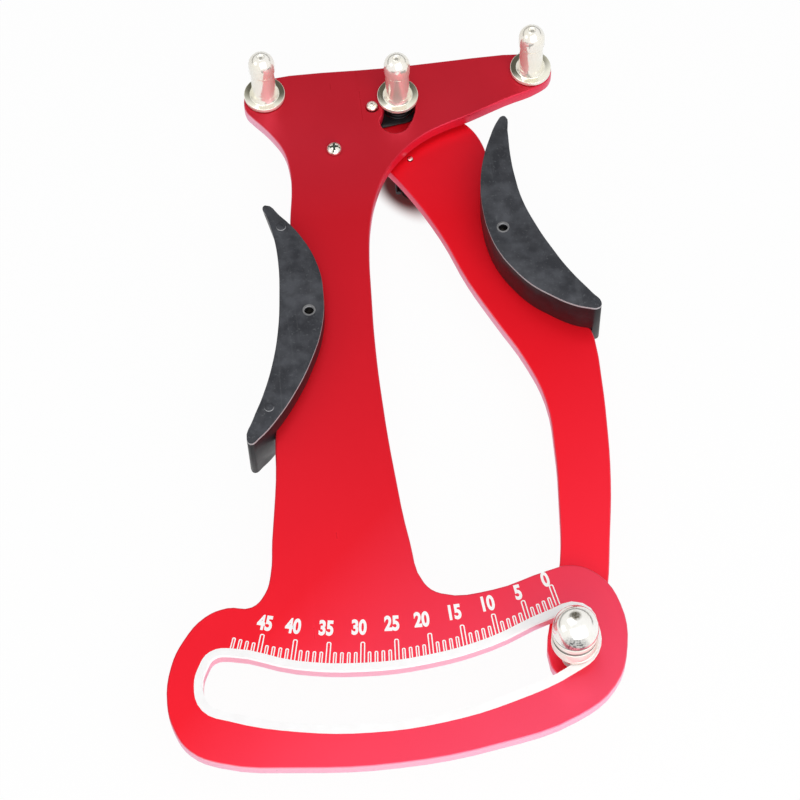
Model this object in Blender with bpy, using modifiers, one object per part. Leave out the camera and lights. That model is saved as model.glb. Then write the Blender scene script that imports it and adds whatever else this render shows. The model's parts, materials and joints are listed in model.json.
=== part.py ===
"""Spoke tension meter: two red plates on one pivot, three posts that bend a wheel spoke,
a torsion spring that loads the lever, and a pointer that runs along a curved scale slot."""

import math

import bmesh
import bpy
from mathutils import Matrix, Vector

for old_object in list(bpy.data.objects):
    bpy.data.objects.remove(old_object, do_unlink=True)

# Plan sizes, in metres, measured from the pivot. X runs along the spoke and -Y towards the scale.
left_post_reach = 0.0315
right_post_reach = 0.0487
spoke_line_rise = 0.0077
moving_post_reach = 0.0080
moving_post_rise = 0.0025
arm_reach = 0.1843
pointer_reach_share = 1.0015
pointer_rest_angle = math.radians(10.96)
handle_width = 0.0305
handle_offset = 0.0227
lobe_radius = 0.0100

# Heights through the tool. The front face of the front plate is at zero.
plate_thickness = 0.0040
lever_thickness = 0.0040
plate_gap = 0.0011
plate_chamfer = 0.0003

# Clearances
seat_gap = 0.0003
cut_overrun = 0.0010
weld_distance = 0.000002

# How finely round forms are divided
curve_steps = 4
turn_steps = 28
small_turn_steps = 20
circle_points = 4

plate_back = -plate_thickness
lever_face = plate_back - plate_gap
lever_back = lever_face - lever_thickness
spoke_y = spoke_line_rise

tool_collection = bpy.data.collections.new("spoke_tension_meter")
cutter_collection = bpy.data.collections.new("cutters")
bpy.context.scene.collection.children.link(tool_collection)
bpy.context.scene.collection.children.link(cutter_collection)


# Materials

def make_material(name, colour, metallic, roughness):
    material = bpy.data.materials.new(name)
    material.use_nodes = True
    shader = material.node_tree.nodes["Principled BSDF"]
    shader.inputs["Base Color"].default_value = (*colour, 1.0)
    shader.inputs["Metallic"].default_value = metallic
    shader.inputs["Roughness"].default_value = roughness
    return material


red_anodised = make_material("red_anodised", (0.62, 0.012, 0.03), 0.75, 0.38)
bright_nickel = make_material("bright_nickel", (0.83, 0.80, 0.74), 1.0, 0.12)
zinc_steel = make_material("zinc_steel", (0.66, 0.64, 0.60), 1.0, 0.30)
black_nylon = make_material("black_nylon", (0.030, 0.032, 0.036), 0.0, 0.55)
black_spring_steel = make_material("black_spring_steel", (0.045, 0.045, 0.048), 0.85, 0.42)
bronze = make_material("bronze", (0.55, 0.36, 0.16), 1.0, 0.35)
white_nylon = make_material("white_nylon", (0.78, 0.77, 0.73), 0.0, 0.45)


# Shape helpers

def polar(radius, angle):
    """A point at that distance from the pivot, with the angle counted from -Y towards +X."""
    return (radius * math.sin(angle), -radius * math.cos(angle))


def finish(made, material, parent, collection=tool_collection):
    for owner in list(made.users_collection):
        owner.objects.unlink(made)
    collection.objects.link(made)
    if material is not None:
        made.data.materials.clear()
        made.data.materials.append(material)
    made.parent = parent
    return made


def closed_spline(curve, points, smooth=True):
    """Adds one closed spline. A smooth one is Bezier with automatic handles."""
    if smooth:
        spline = curve.splines.new("BEZIER")
        spline.bezier_points.add(len(points) - 1)
        for knot, (x, y) in zip(spline.bezier_points, points):
            knot.co = (x, y, 0)
            knot.handle_left_type = "AUTO"
            knot.handle_right_type = "AUTO"
    else:
        spline = curve.splines.new("POLY")
        spline.points.add(len(points) - 1)
        for knot, (x, y) in zip(spline.points, points):
            knot.co = (x, y, 0, 1)
    spline.use_cyclic_u = True
    return spline


def circle_knots(centre, radius, count=circle_points):
    """Knots round a hole, clockwise, so that its chamfer opens outwards."""
    turn = 2 * math.pi / count
    return [
        (centre[0] + radius * math.cos(-k * turn), centre[1] + radius * math.sin(-k * turn))
        for k in range(count)
    ]


def flat_plate(name, outlines, bottom, thickness, chamfer=0.0, grow=0.0, steps=curve_steps):
    """A flat piece from closed outlines: the first is the rim, the rest are holes. Each outline is
    a pair of knots and whether they are joined smoothly."""
    curve = bpy.data.curves.new(name, "CURVE")
    curve.dimensions = "2D"
    curve.fill_mode = "BOTH"
    curve.resolution_u = steps
    curve.render_resolution_u = steps
    curve.extrude = thickness / 2 - chamfer
    curve.bevel_depth = chamfer
    curve.bevel_resolution = 0
    curve.offset = grow - chamfer
    for knots, smooth in outlines:
        closed_spline(curve, knots, smooth)
    drawn = bpy.data.objects.new(name + "_outline", curve)
    bpy.context.scene.collection.objects.link(drawn)
    drawn.location.z = bottom + thickness / 2
    bpy.context.view_layer.update()
    graph = bpy.context.evaluated_depsgraph_get()
    mesh = bpy.data.meshes.new_from_object(drawn.evaluated_get(graph))
    made = bpy.data.objects.new(name, mesh)
    made.matrix_world = drawn.matrix_world
    bpy.context.scene.collection.objects.link(made)
    bpy.data.objects.remove(drawn, do_unlink=True)
    weld(mesh)
    mesh.transform(made.matrix_world)
    made.matrix_world = Matrix.Identity(4)
    return made


def weld(mesh):
    merged = bmesh.new()
    merged.from_mesh(mesh)
    bmesh.ops.remove_doubles(merged, verts=merged.verts, dist=weld_distance)
    bmesh.ops.recalc_face_normals(merged, faces=merged.faces)
    merged.to_mesh(mesh)
    merged.free()


def turned(name, profile, centre, steps=turn_steps, closed=False):
    """A turned piece: the profile is radius and height pairs, down the outer side."""
    mesh = bpy.data.meshes.new(name)
    count = len(profile)
    edges = [(k, k + 1) for k in range(count - 1)]
    if closed:
        edges.append((count - 1, 0))
    mesh.from_pydata([(radius, 0, height) for radius, height in profile], edges, [])
    made = bpy.data.objects.new(name, mesh)
    bpy.context.scene.collection.objects.link(made)
    made.location = (centre[0], centre[1], 0)
    screw = made.modifiers.new("turn", "SCREW")
    screw.axis = "Z"
    screw.angle = 2 * math.pi
    screw.steps = steps
    screw.render_steps = steps
    screw.use_merge_vertices = True
    screw.merge_threshold = weld_distance
    screw.use_smooth_shade = True
    return made


def ring(name, centre, bore, outer, top, bottom, steps=small_turn_steps):
    """A washer or sleeve."""
    profile = [(bore, top), (outer, top), (outer, bottom), (bore, bottom)]
    return turned(name, profile, centre, steps, closed=True)


def dome_profile(radius, base, rise, points):
    """Radius and height pairs from the crown of a dome down to its rim."""
    quarter = math.pi / 2
    return [
        (radius * math.sin(quarter * k / points), base + rise * math.cos(quarter * k / points))
        for k in range(points + 1)
    ]


def cut(target, cutter, name):
    finish(cutter, None, tool, cutter_collection)
    cutter.display_type = "WIRE"
    cutter.hide_render = True
    boolean = target.modifiers.new(name, "BOOLEAN")
    boolean.operation = "DIFFERENCE"
    boolean.solver = "EXACT"
    boolean.object = cutter


def shade_by_angle(made, limit=math.radians(35)):
    made.data.shade_smooth()
    made.data.set_sharp_from_angle(angle=limit)


# The frame, and the lever's axis, which carries all that moves

tool = bpy.data.objects.new("tool", None)
lever_axis = bpy.data.objects.new("lever_axis", None)
for empty in (tool, lever_axis):
    tool_collection.objects.link(empty)
lever_axis.parent = tool

left_post_place = (-left_post_reach, spoke_y)
right_post_place = (right_post_reach, spoke_y)
moving_post_place = (moving_post_reach, moving_post_rise)
pivot_place = (0.0, 0.0)
pointer_reach = arm_reach * pointer_reach_share
pointer_place = polar(pointer_reach, pointer_rest_angle)


# Posts: a flange, a flared neck and a bullet head over a shank

post_flange_radius = 0.00645
post_flange_thickness = 0.0014
post_neck_radius = 0.0036
post_flare_radius = 0.0049
post_neck_height = 0.0128
post_head_radius = 0.0040
post_head_base = 0.0134
post_head_shoulder = 0.0160
post_dome_rise = 0.0040
post_dimple_radius = 0.0012
post_dimple_depth = 0.0005
post_shank_radius = 0.0030
post_bore_radius = 0.0018
post_bore_depth = 0.0090
dome_points = 5
flare_points = 4

moving_shank_radius = 0.0036
moving_collar_radius = 0.0046
moving_spigot_radius = 0.0026


def post_outer_profile():
    """From the dimple in the crown down to the rim of the flange."""
    dome = [
        point
        for point in dome_profile(post_head_radius, post_head_shoulder, post_dome_rise, dome_points)
        if point[0] > post_dimple_radius
    ]
    lip = (post_dimple_radius / post_head_radius) ** 2
    rim_height = post_head_shoulder + post_dome_rise * math.sqrt(1 - lip)
    crown = [(0.0, rim_height - post_dimple_depth), (post_dimple_radius, rim_height)]
    neck = [(post_head_radius, post_head_base), (post_neck_radius, post_neck_height)]
    flange_top = seat_gap + post_flange_thickness
    flare = []
    for k in range(1, flare_points + 1):
        share = k / flare_points
        height = post_neck_height + (flange_top - post_neck_height) * share
        radius = post_neck_radius + (post_flare_radius - post_neck_radius) * share**3
        flare.append((radius, height))
    flange = [(post_flange_radius, flange_top), (post_flange_radius, seat_gap)]
    return crown + dome + neck + flare + flange


def fixed_post(name, place):
    foot = plate_back + seat_gap
    profile = post_outer_profile() + [
        (post_shank_radius, seat_gap),
        (post_shank_radius, foot),
        (post_bore_radius, foot),
        (post_bore_radius, foot + post_bore_depth),
        (0.0, foot + post_bore_depth),
    ]
    return finish(turned(name, profile, place), bright_nickel, tool)


screw_head_radius = 0.0036
screw_head_thickness = 0.0018
screw_shank_radius = post_bore_radius - seat_gap
screw_socket_radius = 0.0014
screw_socket_depth = 0.0010


def post_screw(name, place, top):
    """A socket screw that holds a post from behind, with its head against the plate's back."""
    head_top = plate_back - seat_gap
    head_bottom = head_top - screw_head_thickness
    profile = [
        (0.0, top),
        (screw_shank_radius, top),
        (screw_shank_radius, head_top),
        (screw_head_radius, head_top),
        (screw_head_radius, head_bottom),
        (screw_socket_radius, head_bottom),
        (screw_socket_radius, head_bottom + screw_socket_depth),
        (0.0, head_bottom + screw_socket_depth),
    ]
    return finish(turned(name, profile, place, small_turn_steps), zinc_steel, tool)


def build_fixed_posts():
    screw_top = plate_back + post_bore_depth
    for side, place in (("left", left_post_place), ("right", right_post_place)):
        fixed_post(side + "_post", place)
        post_screw(side + "_post_screw", place, screw_top)


def build_moving_post():
    """The post on the lever. Its shank passes the window and its spigot fills the lever's hole."""
    foot = lever_back + countersink_depth + seat_gap
    collar_foot = lever_face + seat_gap
    collar_top = plate_back - seat_gap
    profile = post_outer_profile() + [
        (moving_shank_radius, seat_gap),
        (moving_shank_radius, collar_top),
        (moving_collar_radius, collar_top),
        (moving_collar_radius, collar_foot),
        (moving_spigot_radius, collar_foot),
        (moving_spigot_radius, foot),
        (countersunk_shank_radius + seat_gap, foot),
        (countersunk_shank_radius + seat_gap, foot + post_bore_depth),
        (0.0, foot + post_bore_depth),
    ]
    finish(turned("moving_post", profile, moving_post_place), bright_nickel, lever_axis)
    screw_profile = [
        (0.0, foot + post_bore_depth - seat_gap),
        (countersunk_shank_radius, foot + post_bore_depth - seat_gap),
        (countersunk_shank_radius, foot),
        (countersunk_head_radius, lever_back + countersunk_rim),
        (countersunk_head_radius, lever_back),
        (countersunk_socket_radius, lever_back),
        (countersunk_socket_radius, lever_back + countersunk_socket_depth),
        (0.0, lever_back + countersunk_socket_depth),
    ]
    made = turned("moving_post_screw", screw_profile, moving_post_place, small_turn_steps)
    finish(made, zinc_steel, lever_axis)


countersink_depth = 0.0014
countersunk_rim = 0.0003
countersunk_head_radius = moving_spigot_radius - seat_gap
countersunk_shank_radius = 0.0011
countersunk_socket_radius = 0.0009
countersunk_socket_depth = 0.0007


# Front plate: post eyes, waist, handle and the head that carries the scale slot

post_eye_radius = 0.0062
post_hole_radius = post_shank_radius + seat_gap
tenon_radius = 0.0015
anchor_place = (-0.0127, -0.0140)
anchor_screw_radius = 0.0013

left_waist_shares = (
    (-1.19, 0.095), (-1.13, 0.0), (-1.05, -0.10), (-0.962, -0.229),
    (-0.877, -0.400), (-0.841, -0.603), (-0.841, -0.825),
)
right_arm_shares = (
    (0.034, -0.487), (0.125, -0.373), (0.240, -0.275), (0.358, -0.209),
    (0.583, -0.131), (0.819, -0.040),
)
handle_left_shares = (
    (-0.167, -0.197), (-0.197, -0.252), (-0.216, -0.326), (-0.249, -0.391),
    (-0.321, -0.456), (-0.420, -0.519), (-0.501, -0.572), (-0.548, -0.658), (-0.633, -0.757),
)
handle_right_shares = (
    (0.587, -0.782), (0.527, -0.664), (0.497, -0.549), (0.494, -0.443),
    (0.516, -0.352), (0.549, -0.266), (0.591, -0.220), (0.672, -0.172),
)
head_left_shares = (
    (-0.235, -0.812), (-0.246, -0.842), (-0.267, -0.861), (-0.302, -0.858), (-0.336, -0.869),
    (-0.369, -0.902), (-0.390, -0.941), (-0.3995, -0.997), (-0.392, -1.040), (-0.372, -1.074),
    (-0.331, -1.097),
)
head_bottom_shares = (
    (-0.219, -1.117), (-0.079, -1.126), (0.064, -1.114), (0.182, -1.085),
)
head_right_shares = (
    (0.2405, -1.045), (0.267, -0.985), (0.267, -0.918), (0.2435, -0.870),
    (0.206, -0.8485), (0.169, -0.853), (0.085, -0.874), (0.010, -0.871), (-0.013, -0.851),
)
slot_upper_centre_share = (-0.077, -0.4015)
slot_upper_radius_share = 0.5805
slot_lower_centre_share = (-0.0835, -0.4160)
slot_lower_radius_share = 0.6473
slot_upper_angles = (math.radians(24.5), math.radians(-23.0))
slot_lower_angles = (math.radians(-20.5), math.radians(24.5))
slot_arc_points = 6
slot_left_end_shares = (
    (-0.3266, -0.9365), (-0.3380, -0.9510), (-0.3462, -0.9760), (-0.3400, -1.0065),
)
slot_right_end_shares = ((0.2127, -0.9850), (0.2176, -0.9520), (0.2060, -0.9230))
window_half_width = 0.0045
window_stop_gap = 0.0006
window_far_angle = math.radians(54.5)
window_points = 4


def spread(shares, x_size, y_size, x_start=0.0):
    return [(x_start + x_size * x, y_size * y) for x, y in shares]


def arc_knots(centre, radius, start, end, count):
    """Points on an arc, with angles counted from -Y towards +X."""
    step = (end - start) / (count - 1)
    return [
        (
            centre[0] + radius * math.sin(start + step * k),
            centre[1] - radius * math.cos(start + step * k),
        )
        for k in range(count)
    ]


def front_outline():
    """The rim of the front plate, anticlockwise from the right eye."""
    right_eye = arc_knots(
        right_post_place, post_eye_radius, math.radians(19), math.radians(180), 5
    )
    left_eye = arc_knots(
        left_post_place, post_eye_radius, math.radians(180), math.radians(270), 3
    )
    between = [((left_post_place[0] + right_post_place[0]) / 2, spoke_y + post_eye_radius)]
    return (
        right_eye
        + between
        + left_eye
        + spread(left_waist_shares, left_post_reach, left_post_reach)
        + spread(handle_left_shares, handle_width, arm_reach, -handle_offset)
        + spread(head_left_shares, arm_reach, arm_reach)
        + spread(head_bottom_shares, arm_reach, arm_reach)
        + spread(head_right_shares, arm_reach, arm_reach)
        + spread(handle_right_shares, handle_width, arm_reach, -handle_offset)
        + spread(right_arm_shares, right_post_reach, right_post_reach)
    )


def slot_outline():
    """The scale slot, clockwise from the right end of its upper edge."""
    upper = arc_knots(
        [arm_reach * share for share in slot_upper_centre_share],
        arm_reach * slot_upper_radius_share,
        *slot_upper_angles,
        slot_arc_points,
    )
    lower = arc_knots(
        [arm_reach * share for share in slot_lower_centre_share],
        arm_reach * slot_lower_radius_share,
        *slot_lower_angles,
        slot_arc_points,
    )
    left_end = spread(slot_left_end_shares, arm_reach, arm_reach)
    right_end = spread(slot_right_end_shares, arm_reach, arm_reach)
    return (upper + left_end + lower + right_end)[::-1]


def window_outline():
    """The window that the moving post swings in, clockwise, along an arc about the pivot."""
    reach = math.hypot(*moving_post_place)
    rest = math.atan2(moving_post_place[1], moving_post_place[0])
    top = rest - window_stop_gap / reach
    bottom = top - window_far_angle

    def on_arc(radius, angle):
        return (radius * math.cos(angle), radius * math.sin(angle))

    top_centre = on_arc(reach, top)
    bottom_centre = on_arc(reach, bottom)
    steps = range(window_points + 1)
    upper_end = [
        (
            top_centre[0] + window_half_width * math.cos(top + math.pi * k / window_points),
            top_centre[1] + window_half_width * math.sin(top + math.pi * k / window_points),
        )
        for k in steps
    ]
    lower_end = [
        (
            bottom_centre[0] - window_half_width * math.cos(bottom + math.pi * k / window_points),
            bottom_centre[1] - window_half_width * math.sin(bottom + math.pi * k / window_points),
        )
        for k in steps
    ]
    return (upper_end + lower_end)[::-1]


def build_front_plate():
    outlines = [
        (front_outline(), True),
        (slot_outline(), True),
        (window_outline(), True),
        (circle_knots(left_post_place, post_hole_radius), True),
        (circle_knots(right_post_place, post_hole_radius), True),
        (circle_knots(pivot_place, tenon_radius + seat_gap), True),
        (circle_knots(anchor_place, anchor_screw_radius + seat_gap), True),
        (circle_knots(left_grip_pin_place, grip_pin_radius + seat_gap), True),
    ]
    made = flat_plate("front_plate", outlines, plate_back, plate_thickness, plate_chamfer)
    shade_by_angle(made)
    finish(made, red_anodised, tool)


# Lever plate: a lobe round the pivot, a bowed arm and a round tip for the pointer

lever_tip_radius = 0.0066
bush_wall = 0.0008
pivot_shoulder_radius = 0.0026
bush_bore_radius = pivot_shoulder_radius + seat_gap
bush_outer_radius = bush_bore_radius + bush_wall
spring_pin_place = (0.0095, -0.0165)
spring_pin_radius = 0.0014
pointer_stud_radius = 0.0015

lobe_shares = (
    (1.80, 0.30), (1.40, 0.78), (0.85, 1.05), (0.10, 0.95), (-0.55, 0.62), (-0.82, 0.0),
    (-0.66, -0.66), (-0.17, -1.27),
)
lever_left_shares = (
    (0.0135, -0.1050), (0.0348, -0.1380), (0.0830, -0.2360), (0.1156, -0.3290),
    (0.1500, -0.4050), (0.1862, -0.4820), (0.2080, -0.5560), (0.2100, -0.6430),
    (0.2040, -0.7300), (0.1920, -0.8260), (0.1700, -0.9000),
)
lever_right_shares = (
    (0.2420, -0.9200), (0.2562, -0.8750), (0.2700, -0.8020), (0.2864, -0.7040),
    (0.2956, -0.6010), (0.2990, -0.5150), (0.2990, -0.4750), (0.2945, -0.4395),
    (0.2713, -0.4015), (0.2360, -0.3418), (0.2090, -0.2794), (0.1910, -0.2170),
    (0.1826, -0.1600), (0.1765, -0.1130), (0.1705, -0.0730), (0.1530, -0.0370),
)


def lever_outline():
    """The rim of the lever plate, anticlockwise from its lobe."""
    tip_centre = polar(arm_reach, pointer_rest_angle)
    tip = arc_knots(tip_centre, lever_tip_radius, math.radians(-75), math.radians(75), 5)
    return (
        spread(lobe_shares, lobe_radius, lobe_radius)
        + spread(lever_left_shares, arm_reach, arm_reach)
        + tip
        + spread(lever_right_shares, arm_reach, arm_reach)
    )


def build_lever_plate():
    outlines = [
        (lever_outline(), True),
        (circle_knots(pivot_place, bush_outer_radius + seat_gap), True),
        (circle_knots(moving_post_place, moving_spigot_radius + seat_gap), True),
        (circle_knots(spring_pin_place, spring_pin_radius + seat_gap), True),
        (circle_knots(pointer_place, pointer_stud_radius + seat_gap), True),
        (circle_knots(right_grip_pin_place, grip_pin_radius + seat_gap), True),
    ]
    made = flat_plate("lever_plate", outlines, lever_back, lever_thickness, plate_chamfer)
    shade_by_angle(made)
    finish(made, red_anodised, lever_axis)


# Pivot: a riveted pin, a bush in the lever, a pad, a washer, the spring's spool and a lock nut

pivot_dome_radius = 0.0018
pivot_dome_rise = 0.0013
washer_thickness = 0.0005
pad_pivot_radius = 0.0046
pad_post_radius = 0.0066
rear_washer_radius = 0.0050
spool_wall = 0.0015
spring_wire_radius = 0.0008
spring_coil_radius = 0.0062
spring_turns = 3
spring_pitch = 0.00207
spring_end_gap = 0.0005
retainer_radius = 0.0072
retainer_thickness = 0.0006
nut_across_flats = 0.0070
nut_thickness = 0.0022
pivot_thread_radius = 0.0019
pivot_end_proud = 0.0003

spring_top = lever_back - spring_end_gap - spring_wire_radius
rear_washer_top = lever_back - seat_gap
spool_top = rear_washer_top - washer_thickness - seat_gap
spring_sweep_turns = spring_turns + 0.5
spool_bottom = spring_top - spring_sweep_turns * spring_pitch - spring_wire_radius - spring_end_gap
retainer_top = spool_bottom - seat_gap
retainer_bottom = retainer_top - retainer_thickness
nut_top = retainer_bottom - seat_gap
nut_bottom = nut_top - nut_thickness
pivot_end = nut_bottom - pivot_end_proud


def build_pivot():
    dome = dome_profile(pivot_dome_radius, seat_gap, pivot_dome_rise, dome_points)
    pin_profile = dome + [
        (tenon_radius, seat_gap),
        (tenon_radius, plate_back - seat_gap),
        (pivot_shoulder_radius, plate_back - seat_gap),
        (pivot_shoulder_radius, spool_bottom),
        (pivot_thread_radius, spool_bottom),
        (pivot_thread_radius, pivot_end),
        (0.0, pivot_end),
    ]
    finish(turned("pivot_pin", pin_profile, pivot_place, small_turn_steps), zinc_steel, tool)
    bush = ring(
        "pivot_bush", pivot_place, bush_bore_radius, bush_outer_radius, lever_face, lever_back
    )
    finish(bush, bronze, lever_axis)
    washer = ring(
        "rear_washer", pivot_place, bush_bore_radius, rear_washer_radius,
        rear_washer_top, rear_washer_top - washer_thickness,
    )
    finish(washer, white_nylon, tool)
    spool = ring(
        "spring_spool", pivot_place, bush_bore_radius, bush_bore_radius + spool_wall,
        spool_top, spool_bottom,
    )
    finish(spool, black_nylon, tool)
    retainer = ring(
        "spring_retainer", pivot_place, pivot_thread_radius + seat_gap, retainer_radius,
        retainer_top, retainer_bottom, turn_steps,
    )
    finish(retainer, zinc_steel, tool)
    build_nut("pivot_nut", pivot_place, pivot_thread_radius + seat_gap, nut_top, tool)


def pad_outline():
    """Round the moving post and the pivot, anticlockwise from below the post."""
    round_post = arc_knots(
        moving_post_place, pad_post_radius, math.radians(-5), math.radians(190), 6
    )
    round_pivot = arc_knots(
        pivot_place, pad_pivot_radius, math.radians(215), math.radians(330), 4
    )
    return round_post + round_pivot


def build_friction_pad():
    """A thin black pad on the lever that keeps the two plates apart."""
    pad_bottom = lever_face + seat_gap
    outlines = [
        (pad_outline(), True),
        (circle_knots(pivot_place, bush_bore_radius), True),
        (circle_knots(moving_post_place, moving_collar_radius + seat_gap), True),
    ]
    made = flat_plate("friction_pad", outlines, pad_bottom, plate_gap - 2 * seat_gap)
    shade_by_angle(made)
    finish(made, black_nylon, lever_axis)


def build_nut(name, place, bore, top, parent):
    corner_radius = nut_across_flats / math.sqrt(3)
    outlines = [
        (circle_knots(place, corner_radius, 6)[::-1], False),
        (circle_knots(place, bore), True),
    ]
    made = flat_plate(name, outlines, top - nut_thickness, nut_thickness)
    shade_by_angle(made)
    return finish(made, zinc_steel, parent)


# Torsion spring: one unbroken wire from the lever's pin, round the coil, to the plate's anchor

anchor_radius = 0.0024
anchor_flange_radius = 0.0031
anchor_flange_thickness = 0.0010
anchor_tail = 0.0012
pin_sleeve_wall = 0.0011
pin_sleeve_radius = spring_pin_radius + seat_gap + pin_sleeve_wall
spring_leg_overhang = 0.0035
spring_points_per_turn = 10
spring_wire_sides = 1


def leg_angle(place, side_radius, turn_sign):
    """Where on the coil a leg leaves, so that it runs past the inner side of a round post."""
    distance = math.hypot(*place)
    direction = math.atan2(place[1], place[0])
    reach = spring_coil_radius + side_radius + spring_wire_radius + seat_gap
    return direction + turn_sign * math.acos(reach / distance)


def leg_end(place, angle, turn_sign, height):
    """The free end of a leg, a little past the post that it bears on."""
    outward = Vector((math.cos(angle), math.sin(angle)))
    along = Vector((turn_sign * math.sin(angle), -turn_sign * math.cos(angle)))
    length = Vector(place).dot(along) + spring_leg_overhang
    end = outward * spring_coil_radius + along * length
    return (end.x, end.y, height)


def spring_points():
    moving_angle = leg_angle(spring_pin_place, pin_sleeve_radius, 1)
    fixed_angle = leg_angle(anchor_place, anchor_radius, -1) + 2 * math.pi
    sweep = 2 * math.pi * spring_turns + (fixed_angle - moving_angle) % (2 * math.pi)
    bottom = spring_top - sweep / (2 * math.pi) * spring_pitch
    count = round(sweep / (2 * math.pi) * spring_points_per_turn)
    points = [leg_end(spring_pin_place, moving_angle, 1, bottom)]
    for k in range(count + 1):
        angle = moving_angle + sweep * k / count
        height = bottom + (spring_top - bottom) * k / count
        x = spring_coil_radius * math.cos(angle)
        y = spring_coil_radius * math.sin(angle)
        points.append((x, y, height))
    points.append(leg_end(anchor_place, fixed_angle, -1, spring_top))
    return points


def spring_gap(points):
    """The least distance between wire surfaces at least half a turn apart."""
    apart = spring_points_per_turn // 2
    coil = [Vector(point) for point in points[1:-1]]
    nearest = min(
        (coil[i] - coil[j]).length for i in range(len(coil)) for j in range(i + apart, len(coil))
    )
    return nearest - 2 * spring_wire_radius


def build_spring():
    points = spring_points()
    curve = bpy.data.curves.new("torsion_spring", "CURVE")
    curve.dimensions = "3D"
    curve.bevel_depth = spring_wire_radius
    curve.bevel_resolution = spring_wire_sides
    curve.use_fill_caps = True
    spline = curve.splines.new("POLY")
    spline.points.add(len(points) - 1)
    for knot, place in zip(spline.points, points):
        knot.co = (*place, 1)
    made = bpy.data.objects.new("torsion_spring", curve)
    bpy.context.scene.collection.objects.link(made)
    finish(made, black_spring_steel, tool)
    print("Least gap between the spring's turns, in mm:", round(1000 * spring_gap(points), 2))


# Spring anchor on the front plate: a post behind it, held by a cross-head screw

anchor_head_radius = 0.0023
anchor_head_rise = 0.0016
cross_length = 0.0026
cross_width = 0.0007
cross_depth = 0.0008
cross_turn = math.radians(22)


def build_anchor():
    flange_top = spring_top - spring_wire_radius - seat_gap
    foot = flange_top - anchor_flange_thickness
    top = plate_back - seat_gap
    bore = anchor_screw_radius + seat_gap
    screw_end = foot + anchor_tail
    profile = [
        (bore, top),
        (anchor_radius, top),
        (anchor_radius, flange_top),
        (anchor_flange_radius, flange_top),
        (anchor_flange_radius, foot),
        (bore, foot),
    ]
    post = turned("spring_anchor_post", profile, anchor_place, small_turn_steps, closed=True)
    finish(post, zinc_steel, tool)
    head = dome_profile(anchor_head_radius, seat_gap, anchor_head_rise, dome_points)
    screw_profile = head + [
        (anchor_screw_radius, seat_gap),
        (anchor_screw_radius, screw_end),
        (0.0, screw_end),
    ]
    screw = turned("spring_anchor_screw", screw_profile, anchor_place, small_turn_steps)
    finish(screw, zinc_steel, tool)
    cross_bottom = seat_gap + anchor_head_rise - cross_depth
    cut(screw, cross_cutter(anchor_place, cross_bottom), "cross recess")


def cross_cutter(place, bottom):
    """A plus-shaped prism for a cross recess."""
    long_half = cross_length / 2
    short_half = cross_width / 2
    quarter = [(long_half, -short_half), (long_half, short_half), (short_half, short_half)]
    knots = []
    for turn in range(4):
        spin = Matrix.Rotation(cross_turn + turn * math.pi / 2, 2)
        for corner in quarter:
            x, y = spin @ Vector(corner)
            knots.append((place[0] + x, place[1] + y))
    return flat_plate("cross_cutter", [(knots, False)], bottom, cross_depth + cut_overrun)


# Spring pin on the lever: a riveted pin with a black sleeve that the spring bears on

pin_head_radius = 0.0018
pin_head_rise = 0.0004


def build_spring_pin():
    sleeve_top = lever_back - seat_gap
    sleeve_bottom = nut_bottom
    cap_top = sleeve_bottom - seat_gap
    head_top = lever_face + seat_gap + pin_head_rise
    profile = [
        (0.0, head_top),
        (pin_head_radius, head_top),
        (pin_head_radius, lever_face + seat_gap),
        (spring_pin_radius, lever_face + seat_gap),
        (spring_pin_radius, cap_top),
        (0.0, cap_top),
    ]
    pin = turned("spring_pin", profile, spring_pin_place, small_turn_steps)
    finish(pin, zinc_steel, lever_axis)
    sleeve = ring(
        "spring_pin_sleeve", spring_pin_place, spring_pin_radius + seat_gap, pin_sleeve_radius,
        sleeve_top, sleeve_bottom,
    )
    finish(sleeve, black_nylon, lever_axis)


# Grips: crescents with a groove that takes a plate's edge, each held by a pin

grip_top = 0.0065
grip_bottom = -0.0110
grip_round = 0.0009
grip_round_steps = 2
grip_pin_radius = 0.0011
grip_pin_sunk = 0.0040
left_grip_shares = (
    (-0.390, -0.1915), (-0.270, -0.2120), (-0.085, -0.2560), (0.045, -0.3150),
    (0.065, -0.3600), (0.020, -0.4200), (-0.115, -0.4790), (-0.290, -0.5310),
    (-0.490, -0.5760), (-0.655, -0.6035), (-0.738, -0.6120), (-0.770, -0.6030),
    (-0.700, -0.5720), (-0.590, -0.5330), (-0.480, -0.4830), (-0.395, -0.4250),
    (-0.345, -0.3600), (-0.325, -0.2980), (-0.345, -0.2500), (-0.395, -0.2100),
    (-0.420, -0.1960),
)
left_grip_pin_share = (-0.085, -0.3907)
right_grip_shares = (
    (0.2078, -0.0690), (0.2080, -0.0950), (0.2062, -0.1420), (0.2080, -0.1860),
    (0.2140, -0.2300), (0.2275, -0.2745), (0.2455, -0.3190), (0.2700, -0.3680),
    (0.2985, -0.4120), (0.3095, -0.4300), (0.3060, -0.4385), (0.2861, -0.4365),
    (0.2610, -0.4260), (0.2337, -0.4070), (0.2080, -0.3855), (0.1834, -0.3530),
    (0.1670, -0.3230), (0.1555, -0.2870), (0.1503, -0.2400), (0.1530, -0.1880),
    (0.1630, -0.1450), (0.1770, -0.1090), (0.1950, -0.0750), (0.2020, -0.0680),
)
right_grip_pin_share = (0.1773, -0.2768)

left_grip_pin_place = (
    handle_width * left_grip_pin_share[0] - handle_offset,
    arm_reach * left_grip_pin_share[1],
)
right_grip_pin_place = tuple(arm_reach * share for share in right_grip_pin_share)


def grip_outline(side):
    if side == "left":
        return spread(left_grip_shares, handle_width, arm_reach, -handle_offset)
    return spread(right_grip_shares, arm_reach, arm_reach)


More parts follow.
